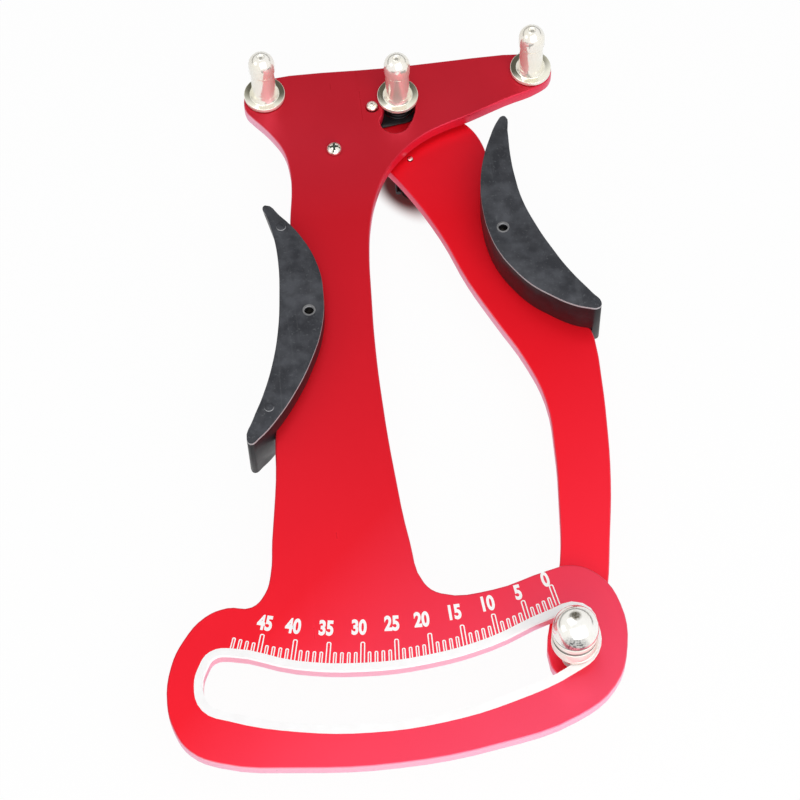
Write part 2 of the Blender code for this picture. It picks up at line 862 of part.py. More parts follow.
def build_grip(side, plate_rim, plate_low, plate_high, pin_place, parent):
    name = side + "_grip"
    grip = flat_plate(
        name, [(grip_outline(side), True)], grip_bottom, grip_top - grip_bottom
    )
    rounding = grip.modifiers.new("rounded rims", "BEVEL")
    rounding.width = grip_round
    rounding.segments = grip_round_steps
    rounding.limit_method = "ANGLE"
    rounding.angle_limit = math.radians(60)
    groove = flat_plate(
        name + "_groove", [(plate_rim, True)], plate_low - seat_gap,
        plate_high - plate_low + 2 * seat_gap, grow=seat_gap,
    )
    cut(grip, groove, "plate groove")
    height = grip_top - grip_bottom + 2 * cut_overrun
    pin_hole = [(circle_knots(pin_place, grip_pin_radius + seat_gap)[::-1], True)]
    cut(grip, flat_plate(name + "_hole", pin_hole, grip_bottom - cut_overrun, height), "pin hole")
    shade_by_angle(grip)
    finish(grip, black_nylon, parent)
    pin_profile = [
        (0.0, grip_top - grip_pin_sunk),
        (grip_pin_radius, grip_top - grip_pin_sunk),
        (grip_pin_radius, grip_bottom + cut_overrun),
        (0.0, grip_bottom + cut_overrun),
    ]
    pin = turned(name + "_pin", pin_profile, pin_place, small_turn_steps)
    finish(pin, zinc_steel, parent)


def build_grips():
    build_grip("left", front_outline(), plate_back, 0.0, left_grip_pin_place, tool)
    build_grip(
        "right", lever_outline(), lever_back, lever_face, right_grip_pin_place, lever_axis
    )


# Pointer: a stud through the slot, a spacer, a washer and a tall domed cap, with a nut behind

pointer_face_gap = 0.0004
pointer_spacer_radius = 0.0046
pointer_spacer_height = 0.0037
pointer_washer_radius = 0.0065
pointer_washer_thickness = 0.0009
cap_flange_radius = 0.0063
cap_flange_thickness = 0.0015
cap_wall_radius = 0.0059
cap_wall_height = 0.0058
cap_dome_rise = 0.0051
cap_bore_depth = 0.0060
stud_collar_radius = 0.0034
pointer_nut_thickness = 0.0022

pointer_spacer_top = pointer_face_gap + pointer_spacer_height
pointer_washer_top = pointer_spacer_top + seat_gap + pointer_washer_thickness
cap_bottom = pointer_washer_top + seat_gap


def build_pointer():
    stud_bore = pointer_stud_radius + seat_gap
    nut_top_height = lever_back - seat_gap
    stud_end = nut_top_height - pointer_nut_thickness - pivot_end_proud
    stud_top = cap_bottom + cap_bore_depth - seat_gap
    collar_bottom = lever_face + seat_gap
    stud_profile = [
        (0.0, stud_top),
        (pointer_stud_radius, stud_top),
        (pointer_stud_radius, stud_end),
        (0.0, stud_end),
    ]
    stud = turned("pointer_stud", stud_profile, pointer_place, small_turn_steps)
    finish(stud, zinc_steel, lever_axis)
    collar = ring(
        "pointer_collar", pointer_place, stud_bore, stud_collar_radius,
        plate_back - seat_gap, collar_bottom,
    )
    finish(collar, white_nylon, lever_axis)
    spacer = ring(
        "pointer_spacer", pointer_place, stud_bore, pointer_spacer_radius,
        pointer_spacer_top, pointer_face_gap,
    )
    finish(spacer, zinc_steel, lever_axis)
    washer = ring(
        "pointer_washer", pointer_place, stud_bore, pointer_washer_radius,
        pointer_washer_top, pointer_spacer_top + seat_gap, turn_steps,
    )
    finish(washer, bright_nickel, lever_axis)
    flange_top = cap_bottom + cap_flange_thickness
    shoulder = flange_top + cap_wall_height
    cap_profile = dome_profile(cap_wall_radius, shoulder, cap_dome_rise, dome_points) + [
        (cap_wall_radius, flange_top),
        (cap_flange_radius, flange_top),
        (cap_flange_radius, cap_bottom),
        (stud_bore, cap_bottom),
        (stud_bore, cap_bottom + cap_bore_depth),
        (0.0, cap_bottom + cap_bore_depth),
    ]
    finish(turned("pointer_cap", cap_profile, pointer_place), bright_nickel, lever_axis)
    build_nut("pointer_nut", pointer_place, stud_bore, nut_top_height, lever_axis)


def stand_on_floor():
    """Puts the middle of the tool's footprint over the origin, with its lowest point at zero."""
    bpy.context.view_layer.update()
    graph = bpy.context.evaluated_depsgraph_get()
    places = []
    for made in tool_collection.objects:
        if made.type in {"MESH", "CURVE"}:
            solid = made.evaluated_get(graph).to_mesh()
            places += [made.matrix_world @ vertex.co for vertex in solid.vertices]
    low = [min(place[axis] for place in places) for axis in range(3)]
    high = [max(place[axis] for place in places) for axis in range(3)]
    tool.location = (-(low[0] + high[0]) / 2, -(low[1] + high[1]) / 2, -low[2])


build_fixed_posts()
build_moving_post()
build_front_plate()
build_lever_plate()
build_pivot()
build_friction_pad()
build_spring()
build_anchor()
build_spring_pin()
build_grips()
build_pointer()
stand_on_floor()
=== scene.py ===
import json
import math

import bmesh
import bpy
from mathutils import Matrix, Vector


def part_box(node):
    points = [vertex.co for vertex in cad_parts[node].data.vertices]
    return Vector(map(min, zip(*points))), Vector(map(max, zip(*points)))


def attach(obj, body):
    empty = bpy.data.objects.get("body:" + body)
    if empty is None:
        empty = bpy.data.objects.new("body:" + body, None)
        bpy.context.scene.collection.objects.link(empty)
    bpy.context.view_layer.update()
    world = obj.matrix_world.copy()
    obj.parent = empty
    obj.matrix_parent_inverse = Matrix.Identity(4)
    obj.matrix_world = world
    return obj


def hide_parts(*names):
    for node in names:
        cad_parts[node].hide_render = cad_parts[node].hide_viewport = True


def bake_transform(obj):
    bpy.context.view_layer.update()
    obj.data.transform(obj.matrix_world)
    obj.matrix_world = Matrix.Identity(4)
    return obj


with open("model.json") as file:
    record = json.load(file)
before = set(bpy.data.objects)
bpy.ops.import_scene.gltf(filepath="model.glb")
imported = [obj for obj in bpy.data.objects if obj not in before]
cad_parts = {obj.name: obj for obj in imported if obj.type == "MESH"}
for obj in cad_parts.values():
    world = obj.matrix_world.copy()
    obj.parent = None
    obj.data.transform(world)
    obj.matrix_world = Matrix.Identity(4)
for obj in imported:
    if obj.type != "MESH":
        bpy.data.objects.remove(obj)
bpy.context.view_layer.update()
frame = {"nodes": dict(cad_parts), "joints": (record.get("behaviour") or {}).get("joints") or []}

# the frame's own places: the pivot, and the heights of the plates
pivotPlace = frame["joints"][0]["pos_m"]
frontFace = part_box("front_plate")[1].z
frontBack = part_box("front_plate")[0].z
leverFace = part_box("lever_plate")[1].z


def planPoint(x, y, height=0.0):
    # a place counted from the pivot, on the front plate's face
    return Vector((pivotPlace[0] + x, pivotPlace[1] + y, frontFace + height))


def nodeMiddle(node):
    low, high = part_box(node)
    return (low + high) / 2


def dressName(node):
    # the name of the piece that dresses a node: front_plate becomes frontPlate
    first, *rest = node.split("_")
    return first + "".join(word.title() for word in rest)


def addObject(name, data):
    made = bpy.data.objects.new(name, data)
    bpy.context.scene.collection.objects.link(made)
    return made


print("frame loaded:", len(frame["nodes"]), "nodes")


# shader helpers

def feed(tree, node, inputs):
    # each input gets a plain value or another node's output
    for key, value in inputs.items():
        if isinstance(value, bpy.types.NodeSocket):
            tree.links.new(value, node.inputs[key])
        else:
            node.inputs[key].default_value = value


def addNode(tree, kind, inputs=None, **settings):
    node = tree.nodes.new("ShaderNode" + kind)
    for setting, value in settings.items():
        setattr(node, setting, value)
    feed(tree, node, inputs or {})
    return node


def product(tree, first, second):
    return addNode(tree, "Math", {0: first, 1: second}, operation="MULTIPLY").outputs[0]


def spread(tree, value, start, end, low=0.0, high=1.0, interpolation="LINEAR"):
    # goes from low to high while the value goes from start to end
    inputs = {"Value": value, "From Min": start, "From Max": end, "To Min": low, "To Max": high}
    return addNode(tree, "MapRange", inputs, interpolation_type=interpolation).outputs[0]


def softSpread(tree, value, start, end, low=0.0, high=1.0):
    return spread(tree, value, start, end, low, high, "SMOOTHSTEP")


def mixColour(tree, share, first, second):
    # a colour is three plain values or another node's output
    first, second = [(*side, 1) if isinstance(side, tuple) else side for side in (first, second)]
    return addNode(tree, "Mix", {0: share, 6: first, 7: second}, data_type="RGBA").outputs[2]


def lightPathMask(tree, *kinds):
    # 1 for the named kinds of ray
    path = addNode(tree, "LightPath")
    total = path.outputs[kinds[0]]
    for kind in kinds[1:]:
        total = addNode(tree, "Math", {0: total, 1: path.outputs[kind]}, operation="MAXIMUM").outputs[0]
    return total


def plainRays(tree):
    # the rays that see floor and background plainly
    return lightPathMask(tree, "Is Camera Ray", "Is Glossy Ray", "Is Transmission Ray")


# mesh helpers

meshLimits = {
    "merge": 0.000002,
    "flatAngle": math.radians(0.6),
    "level": 0.9999,
    "edgeAngle": 30,
    "edgeWidth": 0.00008,
    "edgeSegments": 2,
    "cornerSegments": 3,
    "edgeSharp": 35,
    "turnedSharp": 50,
}


def newObject(name, grown, material, sharp=None):
    # an object at the origin, smooth up to the sharp angle where one is given
    mesh = bpy.data.meshes.new(name)
    grown.to_mesh(mesh)
    grown.free()
    mesh.materials.append(material)
    if sharp:
        mesh.shade_smooth()
        mesh.set_sharp_from_angle(angle=math.radians(sharp))
    return addObject(name, mesh)


def meshPiece(name, grown, material, body, slot, replaced=(), sharp=meshLimits["turnedSharp"]):
    piece = newObject(name, grown, material, sharp)
    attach(piece, body)
    if replaced:
        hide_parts(*replaced)
    return piece


def mergeDoubles(grown):
    bmesh.ops.remove_doubles(grown, verts=grown.verts[:], dist=meshLimits["merge"])


def faceOutwards(grown):
    bmesh.ops.recalc_face_normals(grown, faces=grown.faces[:])


def rollOver(grown, geom, width, segments, affect):
    bmesh.ops.bevel(
        grown, geom=geom, offset=width, offset_type="OFFSET", segments=segments, profile=0.5,
        affect=affect, material=-1, clamp_overlap=True,
    )


def spinProfile(profile, centre, rounding=0.0, steps=72, closed=False):
    # profile is radius and height pairs; corners away from the axis are rounded before it is spun
    grown = bmesh.new()
    verts = [grown.verts.new((radius, 0, height)) for radius, height in profile]
    pairs = list(zip(verts, verts[1:]))
    if closed:
        pairs.append((verts[-1], verts[0]))
    for first, second in pairs:
        grown.edges.new((first, second))
    if rounding:
        corners = [vert for vert in verts if vert.co.x > rounding and len(vert.link_edges) == 2]
        rollOver(grown, corners, rounding, meshLimits["cornerSegments"], "VERTICES")
    bmesh.ops.spin(
        grown, geom=grown.verts[:] + grown.edges[:], cent=(0, 0, 0), axis=(0, 0, 1),
        angle=2 * math.pi, steps=steps, use_merge=True,
    )
    mergeDoubles(grown)
    faceOutwards(grown)
    bmesh.ops.translate(grown, verts=grown.verts[:], vec=(centre[0], centre[1], 0))
    return grown


def mergedCopy(node):
    grown = bmesh.new()
    grown.from_mesh(frame["nodes"][node].data)
    mergeDoubles(grown)
    bmesh.ops.dissolve_limit(
        grown, angle_limit=meshLimits["flatAngle"], verts=grown.verts[:], edges=grown.edges[:]
    )
    return grown


def softenEdges(grown, width, angle=meshLimits["edgeAngle"]):
    edges = [
        edge for edge in grown.edges
        if edge.is_manifold and edge.calc_face_angle(0) > math.radians(angle)
    ]
    rollOver(grown, edges, width, meshLimits["edgeSegments"], "EDGES")


def dressedCopy(node, material, body, slot):
    grown = mergedCopy(node)
    softenEdges(grown, meshLimits["edgeWidth"])
    meshPiece(dressName(node), grown, material, body, slot, (node,), meshLimits["edgeSharp"])


def meshFromCurve(data):
    # text or a curve as a mesh, before its place is applied
    drawn = addObject(data.name, data)
    bpy.context.view_layer.update()
    graph = bpy.context.evaluated_depsgraph_get()
    mesh = bpy.data.meshes.new_from_object(drawn.evaluated_get(graph))
    bpy.data.objects.remove(drawn, do_unlink=True)
    return mesh


def middleOf(verts):
    # the middle of some vertices, seen from above
    across = [vert.co.x for vert in verts]
    along = [vert.co.y for vert in verts]
    return Vector(((min(across) + max(across)) / 2, (min(along) + max(along)) / 2, 0))


# camera and room

cameraView = {
    "azimuth": math.radians(-4.56),
    "elevation": math.radians(60.985),
    "roll": math.radians(-1.987),
    "distance": 0.72732,
    "lens": 117.0,
    "nearest": 0.01,
    "aimX": -0.00267,
    "aimY": -0.10037,
}
aimPoint = planPoint(cameraView["aimX"], cameraView["aimY"])


def placeCamera():
    azimuth = cameraView["azimuth"]
    elevation = cameraView["elevation"]
    back = Vector((
        math.sin(azimuth) * math.cos(elevation),
        -math.cos(azimuth) * math.cos(elevation),
        math.sin(elevation),
    ))
    data = bpy.data.cameras.new("photoCamera")
    data.lens = cameraView["lens"]
    data.clip_start = cameraView["nearest"]
    camera = addObject("photoCamera", data)
    camera.location = aimPoint + back * cameraView["distance"]
    facing = back.to_track_quat("Z", "Y") @ Matrix.Rotation(cameraView["roll"], 3, "Z").to_quaternion()
    camera.rotation_euler = facing.to_euler()
    bpy.context.scene.camera = camera


room = {
    "floorSize": 6.0,
    "floorCells": 8,
    "floorColour": (0.93, 0.93, 0.93),
    "floorRoughness": 0.9,
    "floorShine": 0.1,
    "floorOwnLight": 0.96,
    "worldStrength": 0.36,
}

# place, side and power of each lamp
softboxes = {
    "topSoftbox": ((-0.14, 0.28, 1.0), 0.42, 0.8),
    "frontSoftbox": ((0.12, -0.36, 0.38), 0.62, 2.46),
    "sideSoftbox": ((-0.7, -0.1, 0.5), 0.4, 0.4),
}

# darker parts of the room that shining surfaces pick up: way, core and rim angles, colour
reflections = {
    "ceiling": ((0.03, 0.656, 0.755), math.radians(11), math.radians(19), (0.11, 0.105, 0.085)),
    "viewer": ((0.0, -0.875, 0.48), math.radians(4), math.radians(11), (0.22, 0.2, 0.18)),
}
horizonBand = {
    "low": 0.03,
    "high": 0.3,
    "soft": 0.06,
    "beyond": 0.3,
    "colour": (0.16, 0.155, 0.15),
}

# the patch of floor under the pivot is painted shadow: a dark reddish tone in the floor's colour, and none
# of the floor's own light, so that the plates' shadow stays deep there
paintedShadowPatch = {
    "x": 0.0072,
    "y": -0.0158,
    "turn": math.radians(-53.5),
    "halfLength": 0.016,
    "halfWidth": 0.0085,
    "core": 0.38,
    "ownLight": 0.0,
    "tone": (0.22, 0.09, 0.09),
}


def makeFloorFinish():
    values = paintedShadowPatch
    material = bpy.data.materials.new("paleFloor")
    material.use_nodes = True
    tree = material.node_tree
    shader = tree.nodes["Principled BSDF"]
    place = planPoint(values["x"], values["y"])
    inputs = {
        "Vector": addNode(tree, "TexCoord").outputs["Object"],
        "Location": (place.x, place.y, 0),
        "Rotation": (0, 0, values["turn"]),
        "Scale": (values["halfLength"], values["halfWidth"], 1),
    }
    oval = addNode(tree, "Mapping", inputs, vector_type="TEXTURE").outputs[0]
    away = addNode(tree, "VectorMath", {0: oval}, operation="LENGTH").outputs["Value"]
    ownLight = softSpread(tree, away, values["core"], 1.0, values["ownLight"], room["floorOwnLight"])
    # painted shadow: inside the oval the floor's colour turns to the dark reddish tone
    outsidePaintedShadow = softSpread(tree, away, values["core"], 1.0)
    feed(tree, shader, {
        "Base Color": mixColour(tree, outsidePaintedShadow, values["tone"], room["floorColour"]),
        "Roughness": room["floorRoughness"],
        "Specular IOR Level": room["floorShine"],
    })
    share = product(tree, plainRays(tree), ownLight)
    glow = addNode(tree, "Emission")
    mixed = addNode(tree, "MixShader", {0: share, 1: shader.outputs[0], 2: glow.outputs[0]})
    feed(tree, tree.nodes["Material Output"], {"Surface": mixed.outputs[0]})
    return material


def buildFloor():
    grown = bmesh.new()
    cells = room["floorCells"]
    bmesh.ops.create_grid(grown, x_segments=cells, y_segments=cells, size=room["floorSize"] / 2)
    floor = newObject("floor", grown, makeFloorFinish())


def buildWorld():
    # plain soft light; what shines sees white walls and, overhead beyond the posts, a darker ceiling
    world = bpy.data.worlds.new("studio")
    bpy.context.scene.world = world
    world.use_nodes = True
    tree = world.node_tree
    plain = tree.nodes["Background"]
    feed(tree, plain, {"Strength": room["worldStrength"], "Color": (1, 1, 1, 1)})
    way = addNode(tree, "TexCoord").outputs["Generated"]
    glossy = lightPathMask(tree, "Is Glossy Ray")
    split = addNode(tree, "SeparateXYZ", {0: way})
    band = horizonBand
    above = softSpread(tree, split.outputs["Z"], band["low"], band["low"] + band["soft"])
    below = softSpread(tree, split.outputs["Z"], band["high"], band["high"] - band["soft"])
    beyond = softSpread(tree, split.outputs["Y"], 0.0, band["beyond"])
    bandShare = product(tree, product(tree, above, below), product(tree, beyond, glossy))
    colour = mixColour(tree, bandShare, (1, 1, 1), band["colour"])
    for patchWay, core, rim, tone in reflections.values():
        inputs = {0: way, 1: Vector(patchWay).normalized()}
        toward = addNode(tree, "VectorMath", inputs, operation="DOT_PRODUCT").outputs["Value"]
        patch = softSpread(tree, toward, math.cos(rim), math.cos(core))
        colour = mixColour(tree, product(tree, patch, glossy), colour, tone)
    seen = addNode(tree, "Background", {"Strength": 1.0, "Color": colour})
    mixed = addNode(tree, "MixShader", {0: plainRays(tree), 1: plain.outputs[0], 2: seen.outputs[0]})
    feed(tree, tree.nodes["World Output"], {"Surface": mixed.outputs[0]})


def addSoftbox(name, place, size, power):
    data = bpy.data.lights.new(name, "AREA")
    data.shape = "SQUARE"
    data.size = size
    data.energy = power
    lamp = addObject(name, data)
    lamp.location = place
    lamp.rotation_euler = (lamp.location - aimPoint).to_track_quat("Z", "Y").to_euler()


placeCamera()
buildFloor()
buildWorld()
for lampName, lampValues in softboxes.items():
    addSoftbox(lampName, *lampValues)
bpy.context.scene.view_settings.view_transform = "Standard"
print("camera, floor and lamps placed")


# shader node groups

groupShape = {
    "grainDetail": 3.0,
    "cloudDetail": 4.0,
    "cloudStart": 0.3,
    "cloudEnd": 0.7,
    "hairlineDetail": 2.0,
    "hairlineTurn": math.radians(37),
    "hairlineStretch": 0.04,
    "wallStart": 0.9,
    "wallEnd": 0.35,
    "frontStart": 0.35,
    "frontEnd": -0.55,
}


def newGroup(name, vector, measures, outputs):
    # a group that takes a vector and some measures, each with the value that it starts from
    group = bpy.data.node_groups.new(name, "ShaderNodeTree")
    group.interface.new_socket(vector, in_out="INPUT", socket_type="NodeSocketVector")
    for socketName, value in measures.items():
        socket = group.interface.new_socket(socketName, in_out="INPUT", socket_type="NodeSocketFloat")
        socket.default_value = value
    for socketName in outputs:
        group.interface.new_socket(socketName, in_out="OUTPUT", socket_type="NodeSocketFloat")
    return group, group.nodes.new("NodeGroupInput").outputs, group.nodes.new("NodeGroupOutput")


def addNoise(group, place, size, detail):
    scale = addNode(group, "Math", {0: 1.0, 1: size}, operation="DIVIDE").outputs[0]
    inputs = {"Vector": place, "Scale": scale, "Detail": detail}
    return addNode(group, "TexNoise", inputs).outputs["Fac"]


def makeGrainGroup():
    # fine even grain for height, and slow cloudy variation for colour
    measures = {"Grain size": 0.0004, "Cloud size": 0.03}
    group, entry, exit = newGroup("fineGrain", "Vector", measures, ("Height", "Cloud"))
    feed(group, exit, {
        "Height": addNoise(group, entry["Vector"], entry["Grain size"], groupShape["grainDetail"]),
        "Cloud": addNoise(group, entry["Vector"], entry["Cloud size"], groupShape["cloudDetail"]),
    })
    return group


def makeHairlineGroup():
    # long thin handling marks in one direction, as a mask
    measures = {"Spacing": 0.002, "Share": 0.66}
    group, entry, exit = newGroup("hairlines", "Vector", measures, ("Mask",))
    stretched = addNode(group, "Mapping", {
        "Vector": entry["Vector"],
        "Rotation": (0, 0, groupShape["hairlineTurn"]),
        "Scale": (1, groupShape["hairlineStretch"], 1),
    })
    noise = addNoise(group, stretched.outputs[0], entry["Spacing"], groupShape["hairlineDetail"])
    above = addNode(group, "Math", {0: noise, 1: entry["Share"]}, operation="GREATER_THAN")
    feed(group, exit, {"Mask": above.outputs[0]})
    return group


def makeWallGroup():
    # Mask is 1 on walls square to the plates and 0 on flat faces; Front is 1 on walls towards -Y
    values = groupShape
    group, entry, exit = newGroup("wallMask", "Normal", {}, ("Mask", "Front"))
    split = addNode(group, "SeparateXYZ", {0: entry["Normal"]})
    level = addNode(group, "Math", {0: split.outputs["Z"]}, operation="ABSOLUTE").outputs[0]
    feed(group, exit, {
        "Mask": spread(group, level, values["wallStart"], values["wallEnd"]),
        "Front": spread(group, split.outputs["Y"], values["frontStart"], values["frontEnd"]),
    })
    return group


grainGroup = makeGrainGroup()
hairlineGroup = makeHairlineGroup()
wallGroup = makeWallGroup()


# materials

class Finish:
    # a material under construction: its tree, its shader and its coordinates
    def __init__(self, name):
        self.material = bpy.data.materials.new(name)
        self.material.use_nodes = True
        self.tree = self.material.node_tree
        self.shader = self.tree.nodes["Principled BSDF"]
        self.place = addNode(self.tree, "TexCoord").outputs["Object"]

    def feed(self, **inputs):
        feed(self.tree, self.shader, {key.replace("_", " "): value for key, value in inputs.items()})

    def grain(self, size, cloud):
        inputs = {"Vector": self.place, "Grain size": size, "Cloud size": cloud}
        return addNode(self.tree, "Group", inputs, node_tree=grainGroup).outputs

    def hairlines(self, spacing, share):
        inputs = {"Vector": self.place, "Spacing": spacing, "Share": share}
        return addNode(self.tree, "Group", inputs, node_tree=hairlineGroup).outputs["Mask"]

    def walls(self):
        normal = addNode(self.tree, "NewGeometry").outputs["Normal"]
        return addNode(self.tree, "Group", {"Normal": normal}, node_tree=wallGroup).outputs

    def mix(self, share, first, second):
        return mixColour(self.tree, share, first, second)

    def spread(self, value, start, end, low=0.0, high=1.0):
        return spread(self.tree, value, start, end, low, high)

    def cloudy(self, cloud, low, high):
        # a measure that drifts between low and high with the clouds
        return self.spread(cloud, groupShape["cloudStart"], groupShape["cloudEnd"], low, high)

    def product(self, first, second):
        return product(self.tree, first, second)

    def scuffed(self, rough, marks, change):
        # hairlines are a little smoother or rougher than what lies round them
        inputs = {0: marks, 1: change, 2: rough}
        return addNode(self.tree, "Math", inputs, operation="MULTIPLY_ADD").outputs[0]

    def bump(self, height, strength, depth):
        inputs = {"Strength": strength, "Distance": depth, "Height": height}
        self.feed(Normal=addNode(self.tree, "Bump", inputs).outputs[0])

    def along(self, way, start, end, low=0.0, high=1.0):
        # goes from low to high along a way in the plates' plane, between two distances from the pivot
        inputs = {0: self.place, 1: (*way, 0)}
        reach = addNode(self.tree, "VectorMath", inputs, operation="DOT_PRODUCT").outputs["Value"]
        pivot = way[0] * pivotPlace[0] + way[1] * pivotPlace[1]
        return self.spread(reach, pivot + start, pivot + end, low, high)

    def around(self, place, start, end, low=0.0, high=1.0):
        # goes from low to high between two distances from a place
        inputs = {0: self.place, 1: place}
        away = addNode(self.tree, "VectorMath", inputs, operation="DISTANCE").outputs["Value"]
        return self.spread(away, start, end, low, high)


# starts and ends are distances from the pivot, those of the walls from wallPlace
redPlateFinish = {
    # top is the darker red near the pivot, partly painted shade; low is the red further down
    "top": (0.63, 0.012, 0.021),
    "low": (0.85, 0.012, 0.021),
    "fadeStart": 0.025,
    "fadeEnd": 0.16,
    "clouded": (0.8, 0.011, 0.024),
    "cloudShare": 0.35,
    "wallRed": (0.82, 0.022, 0.055),
    # painted light: the pale pink that walls facing -Y take away from wallPlace
    "wallPale": (0.95, 0.47, 0.57),
    "wallPlace": (0.025, -0.005),
    "wallStart": 0.026,
    "wallEnd": 0.062,
    "metallic": 0.25,
    "roughLow": 0.3,
    "roughHigh": 0.38,
    "grain": 0.00035,
    "grainDepth": 0.00001,
    "bump": 0.25,
    "cloud": 0.045,
    "markSpacing": 0.0025,
    "markShare": 0.69,
    "markRough": -0.05,
    "index": 1.8,
    "sheenTint": (1.0, 0.55, 1.0, 1),
    "sheenWay": (0.68, -0.73),
    "sheenStart": 0.09,
    "sheenEnd": 0.168,
    "sheenLow": 0.07,
    "sheenHigh": 1.0,
    "headStart": -0.05,
    "headEnd": -0.01,
    "headSheen": 0.25,
}


def makeRedAnodised(name, values):
    finish = Finish(name)
    grain = finish.grain(values["grain"], values["cloud"])
    marks = finish.hairlines(values["markSpacing"], values["markShare"])
    walls = finish.walls()
    # the red is darker near the pivot and lighter further down: partly painted shade, partly a deeper red of
    # the plate near the pivot
    down = finish.along((0, -1), values["fadeStart"], values["fadeEnd"])
    cloud = finish.cloudy(grain["Cloud"], 0.0, values["cloudShare"])
    plain = finish.mix(down, values["top"], values["low"])
    face = finish.mix(finish.product(cloud, down), plain, values["clouded"])
    # painted light: walls facing -Y, away from wallPlace by the posts, turn pale pink as if lit from the
    # front; other walls stay wallRed
    beyond = finish.around(planPoint(*values["wallPlace"]), values["wallStart"], values["wallEnd"])
    wall = finish.mix(finish.product(walls["Front"], beyond), values["wallRed"], values["wallPale"])
    rough = finish.cloudy(grain["Cloud"], values["roughLow"], values["roughHigh"])
    lowerRight = finish.along(
        values["sheenWay"], values["sheenStart"], values["sheenEnd"], values["sheenLow"], values["sheenHigh"]
    )
    head = finish.along((0, 1), values["headStart"], values["headEnd"], 0.0, values["headSheen"])
    sheen = addNode(finish.tree, "Math", {0: lowerRight, 1: head}, operation="MAXIMUM")
    finish.bump(grain["Height"], values["bump"], values["grainDepth"])
    finish.feed(
        Base_Color=finish.mix(walls["Mask"], face, wall),
        Roughness=finish.scuffed(rough, marks, values["markRough"]),
        Specular_IOR_Level=sheen.outputs[0],
        Metallic=values["metallic"],
        IOR=values["index"],
        Specular_Tint=values["sheenTint"],
    )
    return finish.material


metalFinish = {
    "cloud": 0.006,
    "tintStart": 0.35,
    "tintEnd": 0.65,
    "markSpacing": 0.0006,
    "markShare": 0.64,
    "markRough": 0.05,
    "streakStart": 0.4,
    "streakEnd": 0.58,
    "streakLeast": 0.45,
    "bump": 0.12,
    "grainDepth": 0.000005,
}


def makeBrightMetal(name, colour, dark, roughLow, roughHigh, grain, metallic=1.0, paintedReflections=()):
    # each painted reflection is a place, its core and rim distances, and its colour, laid as a dark streaky
    # patch into the base colour
    values = metalFinish
    finish = Finish(name)
    grained = finish.grain(grain, values["cloud"])
    marks = finish.hairlines(values["markSpacing"], values["markShare"])
    tint = finish.mix(finish.spread(grained["Cloud"], values["tintStart"], values["tintEnd"]), colour, dark)
    for place, core, rim, paintedReflection in paintedReflections:
        near = finish.around(place, core, rim, 1.0, 0.0)
        streaks = finish.spread(
            grained["Height"], values["streakStart"], values["streakEnd"], values["streakLeast"]
        )
        tint = finish.mix(finish.product(near, streaks), tint, paintedReflection)
    rough = finish.cloudy(grained["Cloud"], roughLow, roughHigh)
    finish.bump(grained["Height"], values["bump"], values["grainDepth"])
    finish.feed(
        Base_Color=tint,
        Roughness=finish.scuffed(rough, marks, values["markRough"]),
        Metallic=metallic,
    )
    return finish.material


# what every moulded nylon shares, and then what is its own
nylonFinish = {
    "cloudStart": 0.4,
    "cloudEnd": 0.66,
    "fleckStart": 0.6,
    "fleckEnd": 0.72,
    "fleckShare": 0.8,
    "markSpacing": 0.0016,
    "markShare": 0.66,
    "markPale": 0.22,
    "bump": 0.35,
}
gripFinish = dict(
    nylonFinish,
    base=(0.036, 0.038, 0.045),
    pale=(0.072, 0.076, 0.087),
    fleck=(0.09, 0.095, 0.104),
    # painted highlight along the front upper edge, then painted shade on the walls
    worn=(0.5, 0.5, 0.52),
    wornShare=0.85,
    wornDepth=0.0008,
    wornStart=0.05,
    wornEnd=0.45,
    wallShade=(0.01, 0.009, 0.01),
    wallShare=0.85,
    shine=0.22,
    roughLow=0.3,
    roughHigh=0.48,
    grain=0.0007,
    grainDepth=0.00005,
    cloud=0.0045,
)
smallNylon = dict(
    nylonFinish,
    base=(0.008, 0.008, 0.009),
    pale=(0.02, 0.02, 0.022),
    fleck=(0.035, 0.035, 0.038),
    shine=0.4,
    roughLow=0.35,
    roughHigh=0.5,
    grain=0.0003,
    grainDepth=0.00001,
    cloud=0.004,
)


def shadeWalls(finish, values, colour):
    # a grip's walls get painted shade, darker than its face, and its front upper edge a painted highlight,
    # pale as if catching the light
    walls = finish.walls()
    split = addNode(finish.tree, "SeparateXYZ", {0: finish.place})
    colour = finish.mix(
        finish.spread(walls["Mask"], 0.0, 1.0, 0.0, values["wallShare"]), colour, values["wallShade"]
    )
    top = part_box("left_grip")[1].z
    band = finish.spread(split.outputs["Z"], top - values["wornDepth"], top - values["wornDepth"] / 2)
    edge = finish.product(finish.product(band, walls["Mask"]), walls["Front"])
    worn = finish.spread(edge, values["wornStart"], values["wornEnd"], 0.0, values["wornShare"])
    return finish.mix(worn, colour, values["worn"])


def makeNylon(name, values):
    finish = Finish(name)
    grain = finish.grain(values["grain"], values["cloud"])
    marks = finish.hairlines(values["markSpacing"], values["markShare"])
    cloud = finish.spread(grain["Cloud"], values["cloudStart"], values["cloudEnd"])
    dusty = finish.mix(cloud, values["base"], values["pale"])
    flecks = finish.spread(
        grain["Height"], values["fleckStart"], values["fleckEnd"], 0.0, values["fleckShare"]
    )
    flecked = finish.mix(flecks, dusty, values["fleck"])
    marked = finish.spread(marks, 0.0, 1.0, 0.0, values["markPale"])
    colour = finish.mix(marked, flecked, values["fleck"])
    # grips only: painted shade on the walls and a painted highlight on the front upper edge
    if "worn" in values:
        colour = shadeWalls(finish, values, colour)
    finish.bump(grain["Height"], values["bump"], values["grainDepth"])
    finish.feed(
        Base_Color=colour,
        Roughness=finish.cloudy(grain["Cloud"], values["roughLow"], values["roughHigh"]),
        Metallic=0.0,
        Specular_IOR_Level=values["shine"],
    )
    return finish.material


